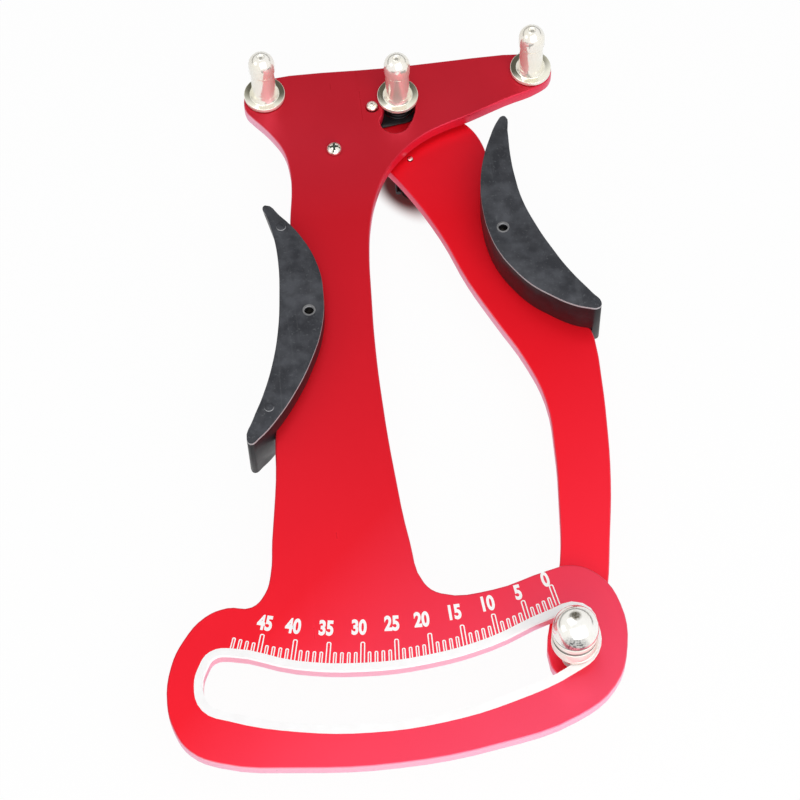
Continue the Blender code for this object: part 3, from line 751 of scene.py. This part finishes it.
inkFinish = {
    "white": (0.99, 0.99, 0.99),
    "thin": (0.95, 0.94, 0.94),
    "grain": 0.0003,
    "cloud": 0.004,
    "cloudStart": 0.4,
    "cloudEnd": 0.75,
    "roughLow": 0.45,
    "roughHigh": 0.6,
    "bump": 0.15,
    "grainDepth": 0.00001,
}


def makeInk():
    values = inkFinish
    finish = Finish("whiteInk")
    grain = finish.grain(values["grain"], values["cloud"])
    cloud = finish.spread(grain["Cloud"], values["cloudStart"], values["cloudEnd"])
    finish.bump(grain["Height"], values["bump"], values["grainDepth"])
    finish.feed(
        Base_Color=finish.mix(cloud, values["white"], values["thin"]),
        Roughness=finish.spread(grain["Cloud"], 0.0, 1.0, values["roughLow"], values["roughHigh"]),
    )
    return finish.material


frontRed = makeRedAnodised("frontRedAnodised", redPlateFinish)
leverRed = makeRedAnodised("leverRedAnodised", dict(
    redPlateFinish, top=(0.9, 0.007, 0.015), low=(1.0, 0.013, 0.024),
    clouded=(0.97, 0.008, 0.018), sheenHigh=0.4,
))

# colour, darker colour, least and most roughness, size of grain
brightNickel = makeBrightMetal(
    "brightNickel", (0.95, 0.93, 0.87), (0.93, 0.89, 0.78), 0.07, 0.16, 0.0006, metallic=0.5
)
mirrorNickel = makeBrightMetal("mirrorNickel", (0.93, 0.91, 0.8), (0.88, 0.86, 0.7), 0.05, 0.12, 0.0006)
satinNickel = makeBrightMetal(
    "satinNickel", (0.93, 0.92, 0.85), (0.86, 0.84, 0.75), 0.16, 0.28, 0.0006, metallic=0.15
)
dullNickel = makeBrightMetal(
    "dullNickel", (0.26, 0.26, 0.24), (0.16, 0.16, 0.14), 0.25, 0.4, 0.0004, metallic=0.4
)
domeNickel = makeBrightMetal(
    "domeNickel", (0.94, 0.93, 0.9), (0.9, 0.88, 0.82), 0.07, 0.15, 0.0005, metallic=0.66,
    # painted reflections on the dome: dark grey low on the front, brownish at the top and grey on the left
    paintedReflections=(
        (planPoint(0.0337, -0.1869, 0.015), 0.0021, 0.0042, (0.13, 0.13, 0.13)),
        (planPoint(0.0347, -0.1799, 0.0196), 0.0007, 0.0018, (0.22, 0.19, 0.13)),
        (planPoint(0.0296, -0.1796, 0.0158), 0.0006, 0.0024, (0.26, 0.27, 0.28)),
    ),
)
zincSteel = makeBrightMetal("zincSteel", (0.86, 0.82, 0.74), (0.74, 0.68, 0.56), 0.2, 0.34, 0.0003)
springSteel = makeBrightMetal("springSteel", (0.1, 0.1, 0.105), (0.05, 0.05, 0.055), 0.3, 0.46, 0.0002)
turnedBronze = makeBrightMetal("turnedBronze", (0.62, 0.42, 0.2), (0.45, 0.28, 0.12), 0.25, 0.4, 0.0002)

grainyBlack = makeNylon("grainyBlackNylon", gripFinish)
plainBlack = makeNylon("plainBlackNylon", smallNylon)
whiteNylon = makeNylon("naturalNylon", dict(
    smallNylon, base=(0.72, 0.71, 0.67), pale=(0.8, 0.79, 0.76), fleck=(0.84, 0.83, 0.8)
))
paleRim = makeNylon("paleRimNylon", dict(
    smallNylon, base=(0.17, 0.17, 0.175), pale=(0.24, 0.24, 0.245), fleck=(0.34, 0.34, 0.35)
))
# painted shade for the screw's cross recess
paintedRecessShade = makeNylon("recessGrime", dict(
    smallNylon, base=(0.02, 0.04, 0.026), pale=(0.05, 0.07, 0.05), fleck=(0.08, 0.1, 0.08)
))
whiteInk = makeInk()
print("materials made")


# plates: merged copies of the cut blanks with their chamfers rolled over

plateShape = {
    "edgeRoll": 0.0001,
    "closeReach": 0.0025,
    "closeShare": 0.5,
}


def closeHole(grown, place):
    # the plate's edge is staked inwards round a small pin
    for vert in grown.verts:
        away = vert.co - place
        if math.hypot(away.x, away.y) < plateShape["closeReach"]:
            vert.co.x = place.x + away.x * plateShape["closeShare"]
            vert.co.y = place.y + away.y * plateShape["closeShare"]


def buildPlate(node, material, body):
    grown = mergedCopy(node)
    softenEdges(grown, plateShape["edgeRoll"])
    if node == "lever_plate":
        closeHole(grown, nodeMiddle("spring_pin"))
    piece = meshPiece(dressName(node), grown, material, body, "red_plate", (node,), sharp=None)
    for polygon in piece.data.polygons:
        polygon.use_smooth = abs(polygon.normal.z) < meshLimits["level"]


buildPlate("front_plate", frontRed, "frame")
buildPlate("lever_plate", leverRed, "lever")
print("plates dressed")


# printed scale: the white border round the slot, the hollow bars and the numerals

scalePrint = {
    "inkThickness": 0.00003,
    "inkLift": 0.00001,
    "borderLift": 0.00003,
    "borderWidth": 0.0021,
    "borderRoll": 0.00038,
    "arcCentreX": -0.01419,
    "arcCentreY": -0.074,
    "arcRadius": 0.1044,
    "zeroAngle": math.radians(10.96),
    "unitAngle": math.radians(-0.592),
    "unitCount": 49,
    "tallLength": 0.0062,
    "shortLength": 0.0033,
    "tallWidth": 0.0013,
    "shortWidth": 0.00098,
    "lineWidth": 0.00032,
    "barRounding": 0.8,
    "barSteps": 3,
    "baseOverlap": 0.0003,
    "numeralEvery": 5,
    "numeralSize": 0.0058,
    "numeralNarrow": 0.7,
    "numeralWeight": 0.00024,
}

# middles of the numerals, from the pivot
numeralPlaces = {
    0: (0.0301, -0.1601),
    5: (0.0223, -0.163),
    10: (0.0136, -0.1653),
    15: (0.0045, -0.1668),
    20: (-0.0043, -0.1679),
    25: (-0.0123, -0.1681),
    30: (-0.0212, -0.1682),
    35: (-0.0299, -0.1674),
    40: (-0.0386, -0.1658),
    45: (-0.046, -0.164),
}


def rimLoops(grown, height):
    # closed loops between the flat front face and its rolled edge
    rim = {
        edge for edge in grown.edges
        if len(edge.link_faces) == 2
        and all(abs(vert.co.z - height) < meshLimits["merge"] for vert in edge.verts)
        and sum(face.normal.z > meshLimits["level"] for face in edge.link_faces) == 1
    }
    loops = []
    while rim:
        edge = rim.pop()
        loop = [edge.verts[0], edge.verts[1]]
        grew = True
        while grew:
            grew = False
            for nextEdge in loop[-1].link_edges:
                if nextEdge in rim:
                    rim.remove(nextEdge)
                    loop.append(nextEdge.other_vert(loop[-1]))
                    grew = True
                    break
        loops.append([vert.co.copy() for vert in loop[:-1]])
    return sorted(loops, key=lambda loop: max(p.x for p in loop) - min(p.x for p in loop))


def printInk(name, grown, lift):
    # flat faces on the plate become a closed film of ink
    for face in grown.faces:
        face.smooth = False
        face.normal_update()
        if face.normal.z < 0:
            face.normal_flip()
    bmesh.ops.solidify(grown, geom=grown.faces[:], thickness=scalePrint["inkThickness"])
    high = max(vert.co.z for vert in grown.verts)
    shift = frontFace + lift + scalePrint["inkThickness"] - high
    bmesh.ops.translate(grown, verts=grown.verts[:], vec=(0, 0, shift))
    faceOutwards(grown)
    meshPiece(name, grown, whiteInk, "frame", "red_plate", sharp=None)


def outsetLoop(loop, distance):
    # the loop moved outwards, away from the opening that it bounds
    area = sum(a.x * b.y - b.x * a.y for a, b in zip(loop, loop[1:] + loop[:1]))
    side = 1 if area > 0 else -1
    moved = []
    for k, point in enumerate(loop):
        along = (loop[(k + 1) % len(loop)] - loop[k - 1]).normalized()
        moved.append(point + Vector((along.y, -along.x, 0)) * side * distance)
    return moved


def buildBorder():
    source = mergedCopy("front_plate")
    slotLoop = rimLoops(source, frontFace)[-2]  # only the outline is wider
    source.free()
    roll = scalePrint["borderRoll"]
    rolled = []
    for point, inside in zip(slotLoop, outsetLoop(slotLoop, -roll)):
        drop = roll if inside.y < point.y else 0.0  # the ink runs over the slot's upper edge only
        rolled.append(inside - Vector((0, 0, drop)))
    grown = bmesh.new()
    rings = []
    for loop in (rolled, slotLoop, outsetLoop(slotLoop, scalePrint["borderWidth"])):
        rings.append([grown.verts.new(point) for point in loop])
    for inner, outer in zip(rings, rings[1:]):
        for k in range(len(inner)):
            after = (k + 1) % len(inner)
            grown.faces.new((inner[k], inner[after], outer[after], outer[k]))
    printInk("scaleBorder", grown, scalePrint["borderLift"])


def scaleBase(angle):
    # how far along a ray from the pivot the border's outer arc lies
    centre = Vector((scalePrint["arcCentreX"], scalePrint["arcCentreY"]))
    ray = Vector((math.sin(angle), -math.cos(angle)))
    along = ray.dot(centre)
    return along + math.sqrt(along**2 - centre.length_squared + scalePrint["arcRadius"] ** 2)


def uprightAt(place, angle):
    # from upright print at the origin to its place on the scale
    return Matrix.Translation(planPoint(*place)) @ Matrix.Rotation(angle, 4, "Z")


def barEdge(half, length, rounding):
    # up one side, over the rounded top and down the other side
    left = [(-half, 0)]
    for k in range(scalePrint["barSteps"] + 1):
        turn = math.pi / 2 * k / scalePrint["barSteps"]
        left.append((rounding * (1 - math.cos(turn)) - half, length - rounding * (1 - math.sin(turn))))
    return left + [(-x, y) for x, y in reversed(left)]


def addBar(grown, angle, width, length):
    # a bar drawn as a thin line that is open at its foot
    half = width / 2
    rounding = half * scalePrint["barRounding"]
    reach = scaleBase(angle) + scalePrint["baseOverlap"]
    matrix = uprightAt((reach * math.sin(angle), -reach * math.cos(angle)), angle)
    edges = []
    for cut in (0.0, scalePrint["lineWidth"]):
        edge = barEdge(half - cut, length - cut, rounding - cut)
        edges.append([grown.verts.new(matrix @ Vector((x, y, 0))) for x, y in edge])
    outer, inner = edges
    for k in range(len(outer) - 1):
        grown.faces.new((outer[k], outer[k + 1], inner[k + 1], inner[k]))


def buildBars():
    grown = bmesh.new()
    for unit in range(scalePrint["unitCount"] + 1):
        size = "short" if unit % scalePrint["numeralEvery"] else "tall"
        angle = scalePrint["zeroAngle"] + unit * scalePrint["unitAngle"]
        addBar(grown, angle, scalePrint[size + "Width"], scalePrint[size + "Length"])
    printInk("scaleBars", grown, scalePrint["inkLift"])


def buildNumerals():
    grown = bmesh.new()
    narrow = Matrix.Diagonal((scalePrint["numeralNarrow"], 1, 1, 1))
    for value, place in numeralPlaces.items():
        text = bpy.data.curves.new("numeral", "FONT")
        text.body = str(value)
        text.size = scalePrint["numeralSize"]
        text.align_x = "CENTER"
        text.align_y = "CENTER"
        text.offset = scalePrint["numeralWeight"]
        text.fill_mode = "FRONT"
        mesh = meshFromCurve(text)
        mesh.transform(uprightAt(place, scalePrint["zeroAngle"] + value * scalePrint["unitAngle"]) @ narrow)
        grown.from_mesh(mesh)
        bpy.data.meshes.remove(mesh)
    mergeDoubles(grown)
    printInk("scaleNumerals", grown, scalePrint["inkLift"])


buildBorder()
buildBars()
buildNumerals()
print("scale printed")


# posts: a thin flange, a waisted neck and a bullet head with a small dimple

postShape = {
    "flangeRadius": 0.0061,
    "flangeRim": 0.0013,
    "neckRadius": 0.0035,
    "flareRadius": 0.0043,
    "flarePower": 6,
    "flarePoints": 8,
    "neckTop": 0.0128,
    "headRadius": 0.00385,
    "headBase": 0.0134,
    "headShoulder": 0.016,
    "domeRise": 0.004,
    "domePoints": 14,
    "dimpleRadius": 0.001,
    "dimpleFloor": 0.0007,
    "dimpleLip": 0.0011,
    "dimpleDepth": 0.0005,
    "seat": 0.0003,
    "rounding": 0.00018,
    "steps": 96,
    "mirrorTop": 0.0064,
    "mirrorLevel": 0.9,
    "shankRadius": 0.003,
    "guideRadius": 0.0036,
    "collarRadius": 0.0046,
    "spigotRadius": 0.0026,
}


def postProfile():
    # above the plate, from the dimple down to the flange's seat
    values = postShape
    rimTurn = math.asin(values["dimpleRadius"] / values["headRadius"])
    rimHeight = values["headShoulder"] + values["domeRise"] * math.cos(rimTurn)
    points = [
        (0.0, rimHeight - values["dimpleDepth"]),
        (values["dimpleFloor"], rimHeight - values["dimpleDepth"]),
        (values["dimpleRadius"], rimHeight),
    ]
    for k in range(values["domePoints"] + 1):
        turn = math.pi / 2 * k / values["domePoints"]
        radius = values["headRadius"] * math.sin(turn)
        if radius > values["dimpleLip"]:
            points.append((radius, values["headShoulder"] + values["domeRise"] * math.cos(turn)))
    points.append((values["headRadius"], values["headBase"]))
    points.append((values["neckRadius"], values["neckTop"]))
    low = values["seat"] + values["flangeRim"]
    for k in range(1, values["flarePoints"] + 1):
        share = k / values["flarePoints"]
        flare = (values["flareRadius"] - values["neckRadius"]) * share ** values["flarePower"]
        points.append((values["neckRadius"] + flare, values["neckTop"] + (low - values["neckTop"]) * share))
    return points + [(values["flangeRadius"], low), (values["flangeRadius"], values["seat"])]


def shankProfile(node):
    # below the plate's face: a plain shank, or on the moving post a guide, a collar and a spigot
    values = postShape
    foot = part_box(node)[0].z
    seat = values["seat"]
    steps = [("shankRadius", frontFace + seat, foot)]
    if node == "moving_post":
        steps = [
            ("guideRadius", frontFace + seat, frontBack - seat),
            ("collarRadius", frontBack - seat, leverFace + seat),
            ("spigotRadius", leverFace + seat, foot),
        ]
    points = []
    for radius, high, low in steps:
        points += [(values[radius], high), (values[radius], low)]
    return points + [(0.0, foot)]


def buildPost(node, body):
    values = postShape
    above = [(radius, frontFace + height) for radius, height in postProfile()]
    grown = spinProfile(above + shankProfile(node), nodeMiddle(node), values["rounding"], values["steps"])
    post = meshPiece(dressName(node), grown, brightNickel, body, "bright_post", (node,))
    post.data.materials.append(mirrorNickel)
    post.data.materials.append(springSteel)
    for polygon in post.data.polygons:
        height = polygon.center.z - frontFace
        # shanks below the plate's face are dark steel; in the moving post's window this dark stands partly
        # for painted shade under the flange
        if height < values["seat"]:
            polygon.material_index = 2
        elif height < values["mirrorTop"] and polygon.normal.z > values["mirrorLevel"]:
            polygon.material_index = 1


buildPost("left_post", "frame")
buildPost("right_post", "frame")
buildPost("moving_post", "lever")
print("posts turned")


# pointer cap: a tall mirror dome over two stepped rings

capShape = {
    "shiftX": -0.0004,
    "rimRadius": 0.0061,
    "rimHeight": 0.0038,
    "ringRadius": 0.0061,
    "ringFoot": 0.0053,
    "ringTop": 0.0072,
    "grooveRadius": 0.0058,
    "domeFoot": 0.0079,
    "domeTop": 0.0196,
    "domeRadius": 0.0061,
    "domeFullness": 2.4,
    "domePoints": 26,
    "rounding": 0.00022,
    "steps": 96,
}


def buildCap():
    values = capShape
    low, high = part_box("pointer_cap")
    middle = (low + high) / 2 + Vector((values["shiftX"], 0, 0))
    foot = low.z + values["domeFoot"]
    rise = frontFace + values["domeTop"] - foot
    power = 2 / values["domeFullness"]
    profile = []
    for k in range(values["domePoints"] + 1):
        turn = math.pi / 2 * k / values["domePoints"]
        across, up = math.sin(turn) ** power, max(math.cos(turn), 0) ** power
        profile.append((values["domeRadius"] * across, foot + rise * up))
    steps = (
        ("grooveRadius", "domeFoot"), ("grooveRadius", "ringTop"), ("ringRadius", "ringTop"),
        ("ringRadius", "ringFoot"), ("grooveRadius", "ringFoot"), ("grooveRadius", "rimHeight"),
        ("rimRadius", "rimHeight"),
    )
    profile += [(values[radius], low.z + values[height]) for radius, height in steps]
    profile += [(values["rimRadius"], low.z), (0.0, low.z)]
    grown = spinProfile(profile, middle, values["rounding"], values["steps"])
    cap = meshPiece("pointerCap", grown, domeNickel, "lever", "bright_post", ("pointer_cap",))
    cap.data.materials.append(satinNickel)
    cap.data.materials.append(dullNickel)
    grooveEdge = (values["grooveRadius"] + values["domeRadius"]) / 2
    for polygon in cap.data.polygons:
        away = math.hypot(polygon.center.x - middle.x, polygon.center.y - middle.y)
        # the grooves between the cap's rings are dark grey, the rings' outer faces satin
        if polygon.center.z < foot:
            polygon.material_index = 2 if away < grooveEdge else 1


# turned pieces: material, body, slot and bore, and where they differ, rounding and trim
pointerStack = {
    "pointer_washer": (satinNickel, "lever", "bright_post", 0.0018, 0.0003, 0.0004),
    "pointer_spacer": (zincSteel, "lever", "zinc_fastener", 0.0018),
    "pointer_collar": (whiteNylon, "lever", "white_washer", 0.0018),
}
pivotStack = {
    "rear_washer": (whiteNylon, "frame", "white_washer", 0.0029),
    "spring_spool": (plainBlack, "frame", "black_plastic", 0.0029),
    "spring_pin_sleeve": (plainBlack, "lever", "black_plastic", 0.0017),
    "spring_retainer": (zincSteel, "frame", "zinc_fastener", 0.0022),
    "pivot_bush": (turnedBronze, "lever", "bronze_bush", 0.0029),
}


def buildTurned(node, material, body, slot, bore, rounding=0.00012, trim=0.0):
    # a washer, sleeve or collar with rolled edges
    low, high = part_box(node)
    outer = (high.x - low.x) / 2 - trim
    profile = [(bore, high.z), (outer, high.z), (outer, low.z), (bore, low.z)]
    grown = spinProfile(profile, (low + high) / 2, rounding, closed=True)
    meshPiece(dressName(node), grown, material, body, slot, (node,))


buildCap()
for node, values in pointerStack.items():
    buildTurned(node, *values)
dressedCopy("friction_pad", plainBlack, "lever", "black_plastic")
for node, values in pivotStack.items():
    buildTurned(node, *values)
print("pointer and turned parts made")


# small hardware keeps its own shape, with softened edges

hardware = {
    "pivot_pin": "frame",
    "pivot_nut": "frame",
    "left_post_screw": "frame",
    "right_post_screw": "frame",
    "moving_post_screw": "lever",
    "spring_anchor_post": "frame",
    "spring_anchor_screw": "frame",
    "spring_pin": "lever",
    "left_grip_pin": "frame",
    "right_grip_pin": "lever",
    "pointer_stud": "lever",
    "pointer_nut": "lever",
}
headShape = {
    "recessRadius": 0.0015,
    "recessDepth": 0.00035,
    "crossTurn": math.radians(-22),
    "pinShare": 0.45,
}


def darkenRecess(mesh):
    # painted shade in the cross: faces near the axis that lie below the head's own dome
    mesh.materials.append(paintedRecessShade)
    top = max(vert.co.z for vert in mesh.vertices)
    middle = middleOf([vert for vert in mesh.vertices if vert.co.z > frontFace])
    for polygon in mesh.polygons:
        away = math.hypot(polygon.center.x - middle.x, polygon.center.y - middle.y)
        deep = frontFace < polygon.center.z < top - headShape["recessDepth"]
        if away < headShape["recessRadius"] and deep:
            polygon.material_index = 1


def shrinkHead(mesh):
    # a smaller head on the same shank
    head = [vert for vert in mesh.vertices if vert.co.z > leverFace]
    seat = middleOf(head) + Vector((0, 0, leverFace))
    for vert in head:
        vert.co = seat + (vert.co - seat) * headShape["pinShare"]


def turnCross(mesh):
    # the cross stands where the screw was left
    axis = Matrix.Translation(middleOf(mesh.vertices))
    mesh.transform(axis @ Matrix.Rotation(headShape["crossTurn"], 4, "Z") @ axis.inverted())


for node, body in hardware.items():
    dressedCopy(node, zincSteel, body, "zinc_fastener")
darkenRecess(bpy.data.objects["springAnchorScrew"].data)
shrinkHead(bpy.data.objects["springPin"].data)
turnCross(bpy.data.objects["springAnchorScrew"].data)
print("hardware dressed")


# grips

gripShape = {
    "edgeRoll": 0.00015,
    "edgeAngle": 40,
    "bumps": ((-0.0307, -0.0432), (-0.0392, -0.1019)),
    "bumpRadius": 0.0014,
    "bumpRise": 0.0004,
    "bumpPoints": 5,
    "bumpSteps": 32,
    "ringInner": 0.0014,
    "ringOuter": 0.0018,
    "ringRise": 0.00012,
    "ringSteps": 40,
    "draftStart": -0.066,
    "draftLength": 0.026,
    "draftEdge": -0.0305,
    "draftBlend": 0.0018,
    "draftReach": 0.0026,
}


def draftTip(grown):
    # the left grip's outer wall leans in under its face towards the upper tip
    values = gripShape
    top = max(vert.co.z for vert in grown.verts)
    bottom = min(vert.co.z for vert in grown.verts)
    for vert in grown.verts:
        x = vert.co.x - pivotPlace[0]
        y = vert.co.y - pivotPlace[1]
        up = min(max((y - values["draftStart"]) / values["draftLength"], 0), 1)
        out = min(max((values["draftEdge"] - x) / values["draftBlend"], 0), 1)
        deep = (top - vert.co.z) / (top - bottom)
        vert.co.x += values["draftReach"] * up * up * (3 - 2 * up) * out * deep


def buildGrip(node, body):
    angle = gripShape["edgeAngle"]
    grown = mergedCopy(node)
    softenEdges(grown, gripShape["edgeRoll"], angle)
    if node == "left_grip":
        draftTip(grown)
    meshPiece(dressName(node), grown, grainyBlack, body, "grip_plastic", (node,), sharp=angle)


def addPinRim(node, body):
    # the raised rim that the moulding leaves round the pin's hole
    values = gripShape
    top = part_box(node)[1].z
    profile = [
        (values["ringInner"], top + values["ringRise"]),
        (values["ringOuter"], top + values["ringRise"]),
        (values["ringOuter"] + values["ringRise"], top - values["ringRise"]),
        (values["ringInner"], top - values["ringRise"]),
    ]
    grown = spinProfile(profile, nodeMiddle(node + "_pin"), 0.0, values["ringSteps"], closed=True)
    meshPiece(dressName(node) + "PinRim", grown, paleRim, body, "grip_plastic")


def addBumps():
    # two small marks that the mould's ejector pins leave on the left grip
    values = gripShape
    radius, rise = values["bumpRadius"], values["bumpRise"]
    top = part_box("left_grip")[1].z
    for number, place in enumerate(values["bumps"]):
        profile = []
        for k in range(values["bumpPoints"] + 1):
            turn = math.pi / 2 * k / values["bumpPoints"]
            profile.append((radius * math.sin(turn), top + rise * math.cos(turn)))
        profile += [(radius, top - rise), (0.0, top - rise)]
        grown = spinProfile(profile, planPoint(*place), 0.0, values["bumpSteps"])
        meshPiece(f"leftGripBump{number}", grown, grainyBlack, "frame", "grip_plastic")


buildGrip("left_grip", "frame")
buildGrip("right_grip", "lever")
addPinRim("left_grip", "frame")
addPinRim("right_grip", "lever")
addBumps()
print("grips dressed")


# torsion spring: one wire, whose coil twists between the plate's anchor and the lever's pin

springShape = {
    "coilRadius": 0.0062,
    "wireRadius": 0.0008,
    "turns": 3,
    "pitch": 0.00207,
    "pinPlace": (0.0095, -0.0165),
    "pinSide": 0.0028,
    "anchorPlace": (-0.0127, -0.014),
    "anchorSide": 0.0024,
    "gap": 0.0003,
    "overhang": 0.0035,
    "endDepth": 1.1,
    "pointsPerTurn": 30,
    "tubeDetail": 4,
}


def legAngle(place, side, hand):
    # where a leg leaves the coil so that it runs past the inner side of a round post
    reach = springShape["coilRadius"] + side + springShape["wireRadius"] + springShape["gap"]
    return math.atan2(place[1], place[0]) + hand * math.acos(reach / math.hypot(*place))


def legTip(place, angle, hand, height):
    outward = Vector((math.cos(angle), math.sin(angle)))
    along = Vector((hand * math.sin(angle), -hand * math.cos(angle)))
    length = Vector(place).dot(along) + springShape["overhang"]
    tip = outward * springShape["coilRadius"] + along * length
    return (pivotPlace[0] + tip.x, pivotPlace[1] + tip.y, height)


def buildSpring():
    values = springShape
    wire = values["wireRadius"]
    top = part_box("torsion_spring")[1].z - wire
    moving = legAngle(values["pinPlace"], values["pinSide"], 1)
    fixed = legAngle(values["anchorPlace"], values["anchorSide"], -1) + 2 * math.pi
    sweep = 2 * math.pi * values["turns"] + (fixed - moving) % (2 * math.pi)
    bottom = top - sweep / (2 * math.pi) * values["pitch"]
    count = round(sweep / (2 * math.pi) * values["pointsPerTurn"])
    route = [legTip(values["pinPlace"], moving, 1, bottom)]
    for k in range(count + 1):
        angle = moving + sweep * k / count
        route.append((
            pivotPlace[0] + values["coilRadius"] * math.cos(angle),
            pivotPlace[1] + values["coilRadius"] * math.sin(angle),
            bottom + (top - bottom) * k / count,
        ))
    route.append(legTip(values["anchorPlace"], fixed, -1, top))
    curve = bpy.data.curves.new("springWire", "CURVE")
    curve.dimensions = "3D"
    curve.bevel_depth = wire
    curve.bevel_resolution = values["tubeDetail"]
    curve.use_fill_caps = True
    spline = curve.splines.new("POLY")
    spline.points.add(len(route) - 1)
    for knot, place in zip(spline.points, route):
        knot.co = (*place, 1)
    tube = meshFromCurve(curve)
    grown = bmesh.new()
    grown.from_mesh(tube)
    bpy.data.meshes.remove(tube)
    mergeDoubles(grown)
    faceOutwards(grown)
    piece = newObject("torsionSpring", grown, springSteel, meshLimits["turnedSharp"])
    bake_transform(piece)
    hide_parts("torsion_spring")


buildSpring()
print("spring wound")
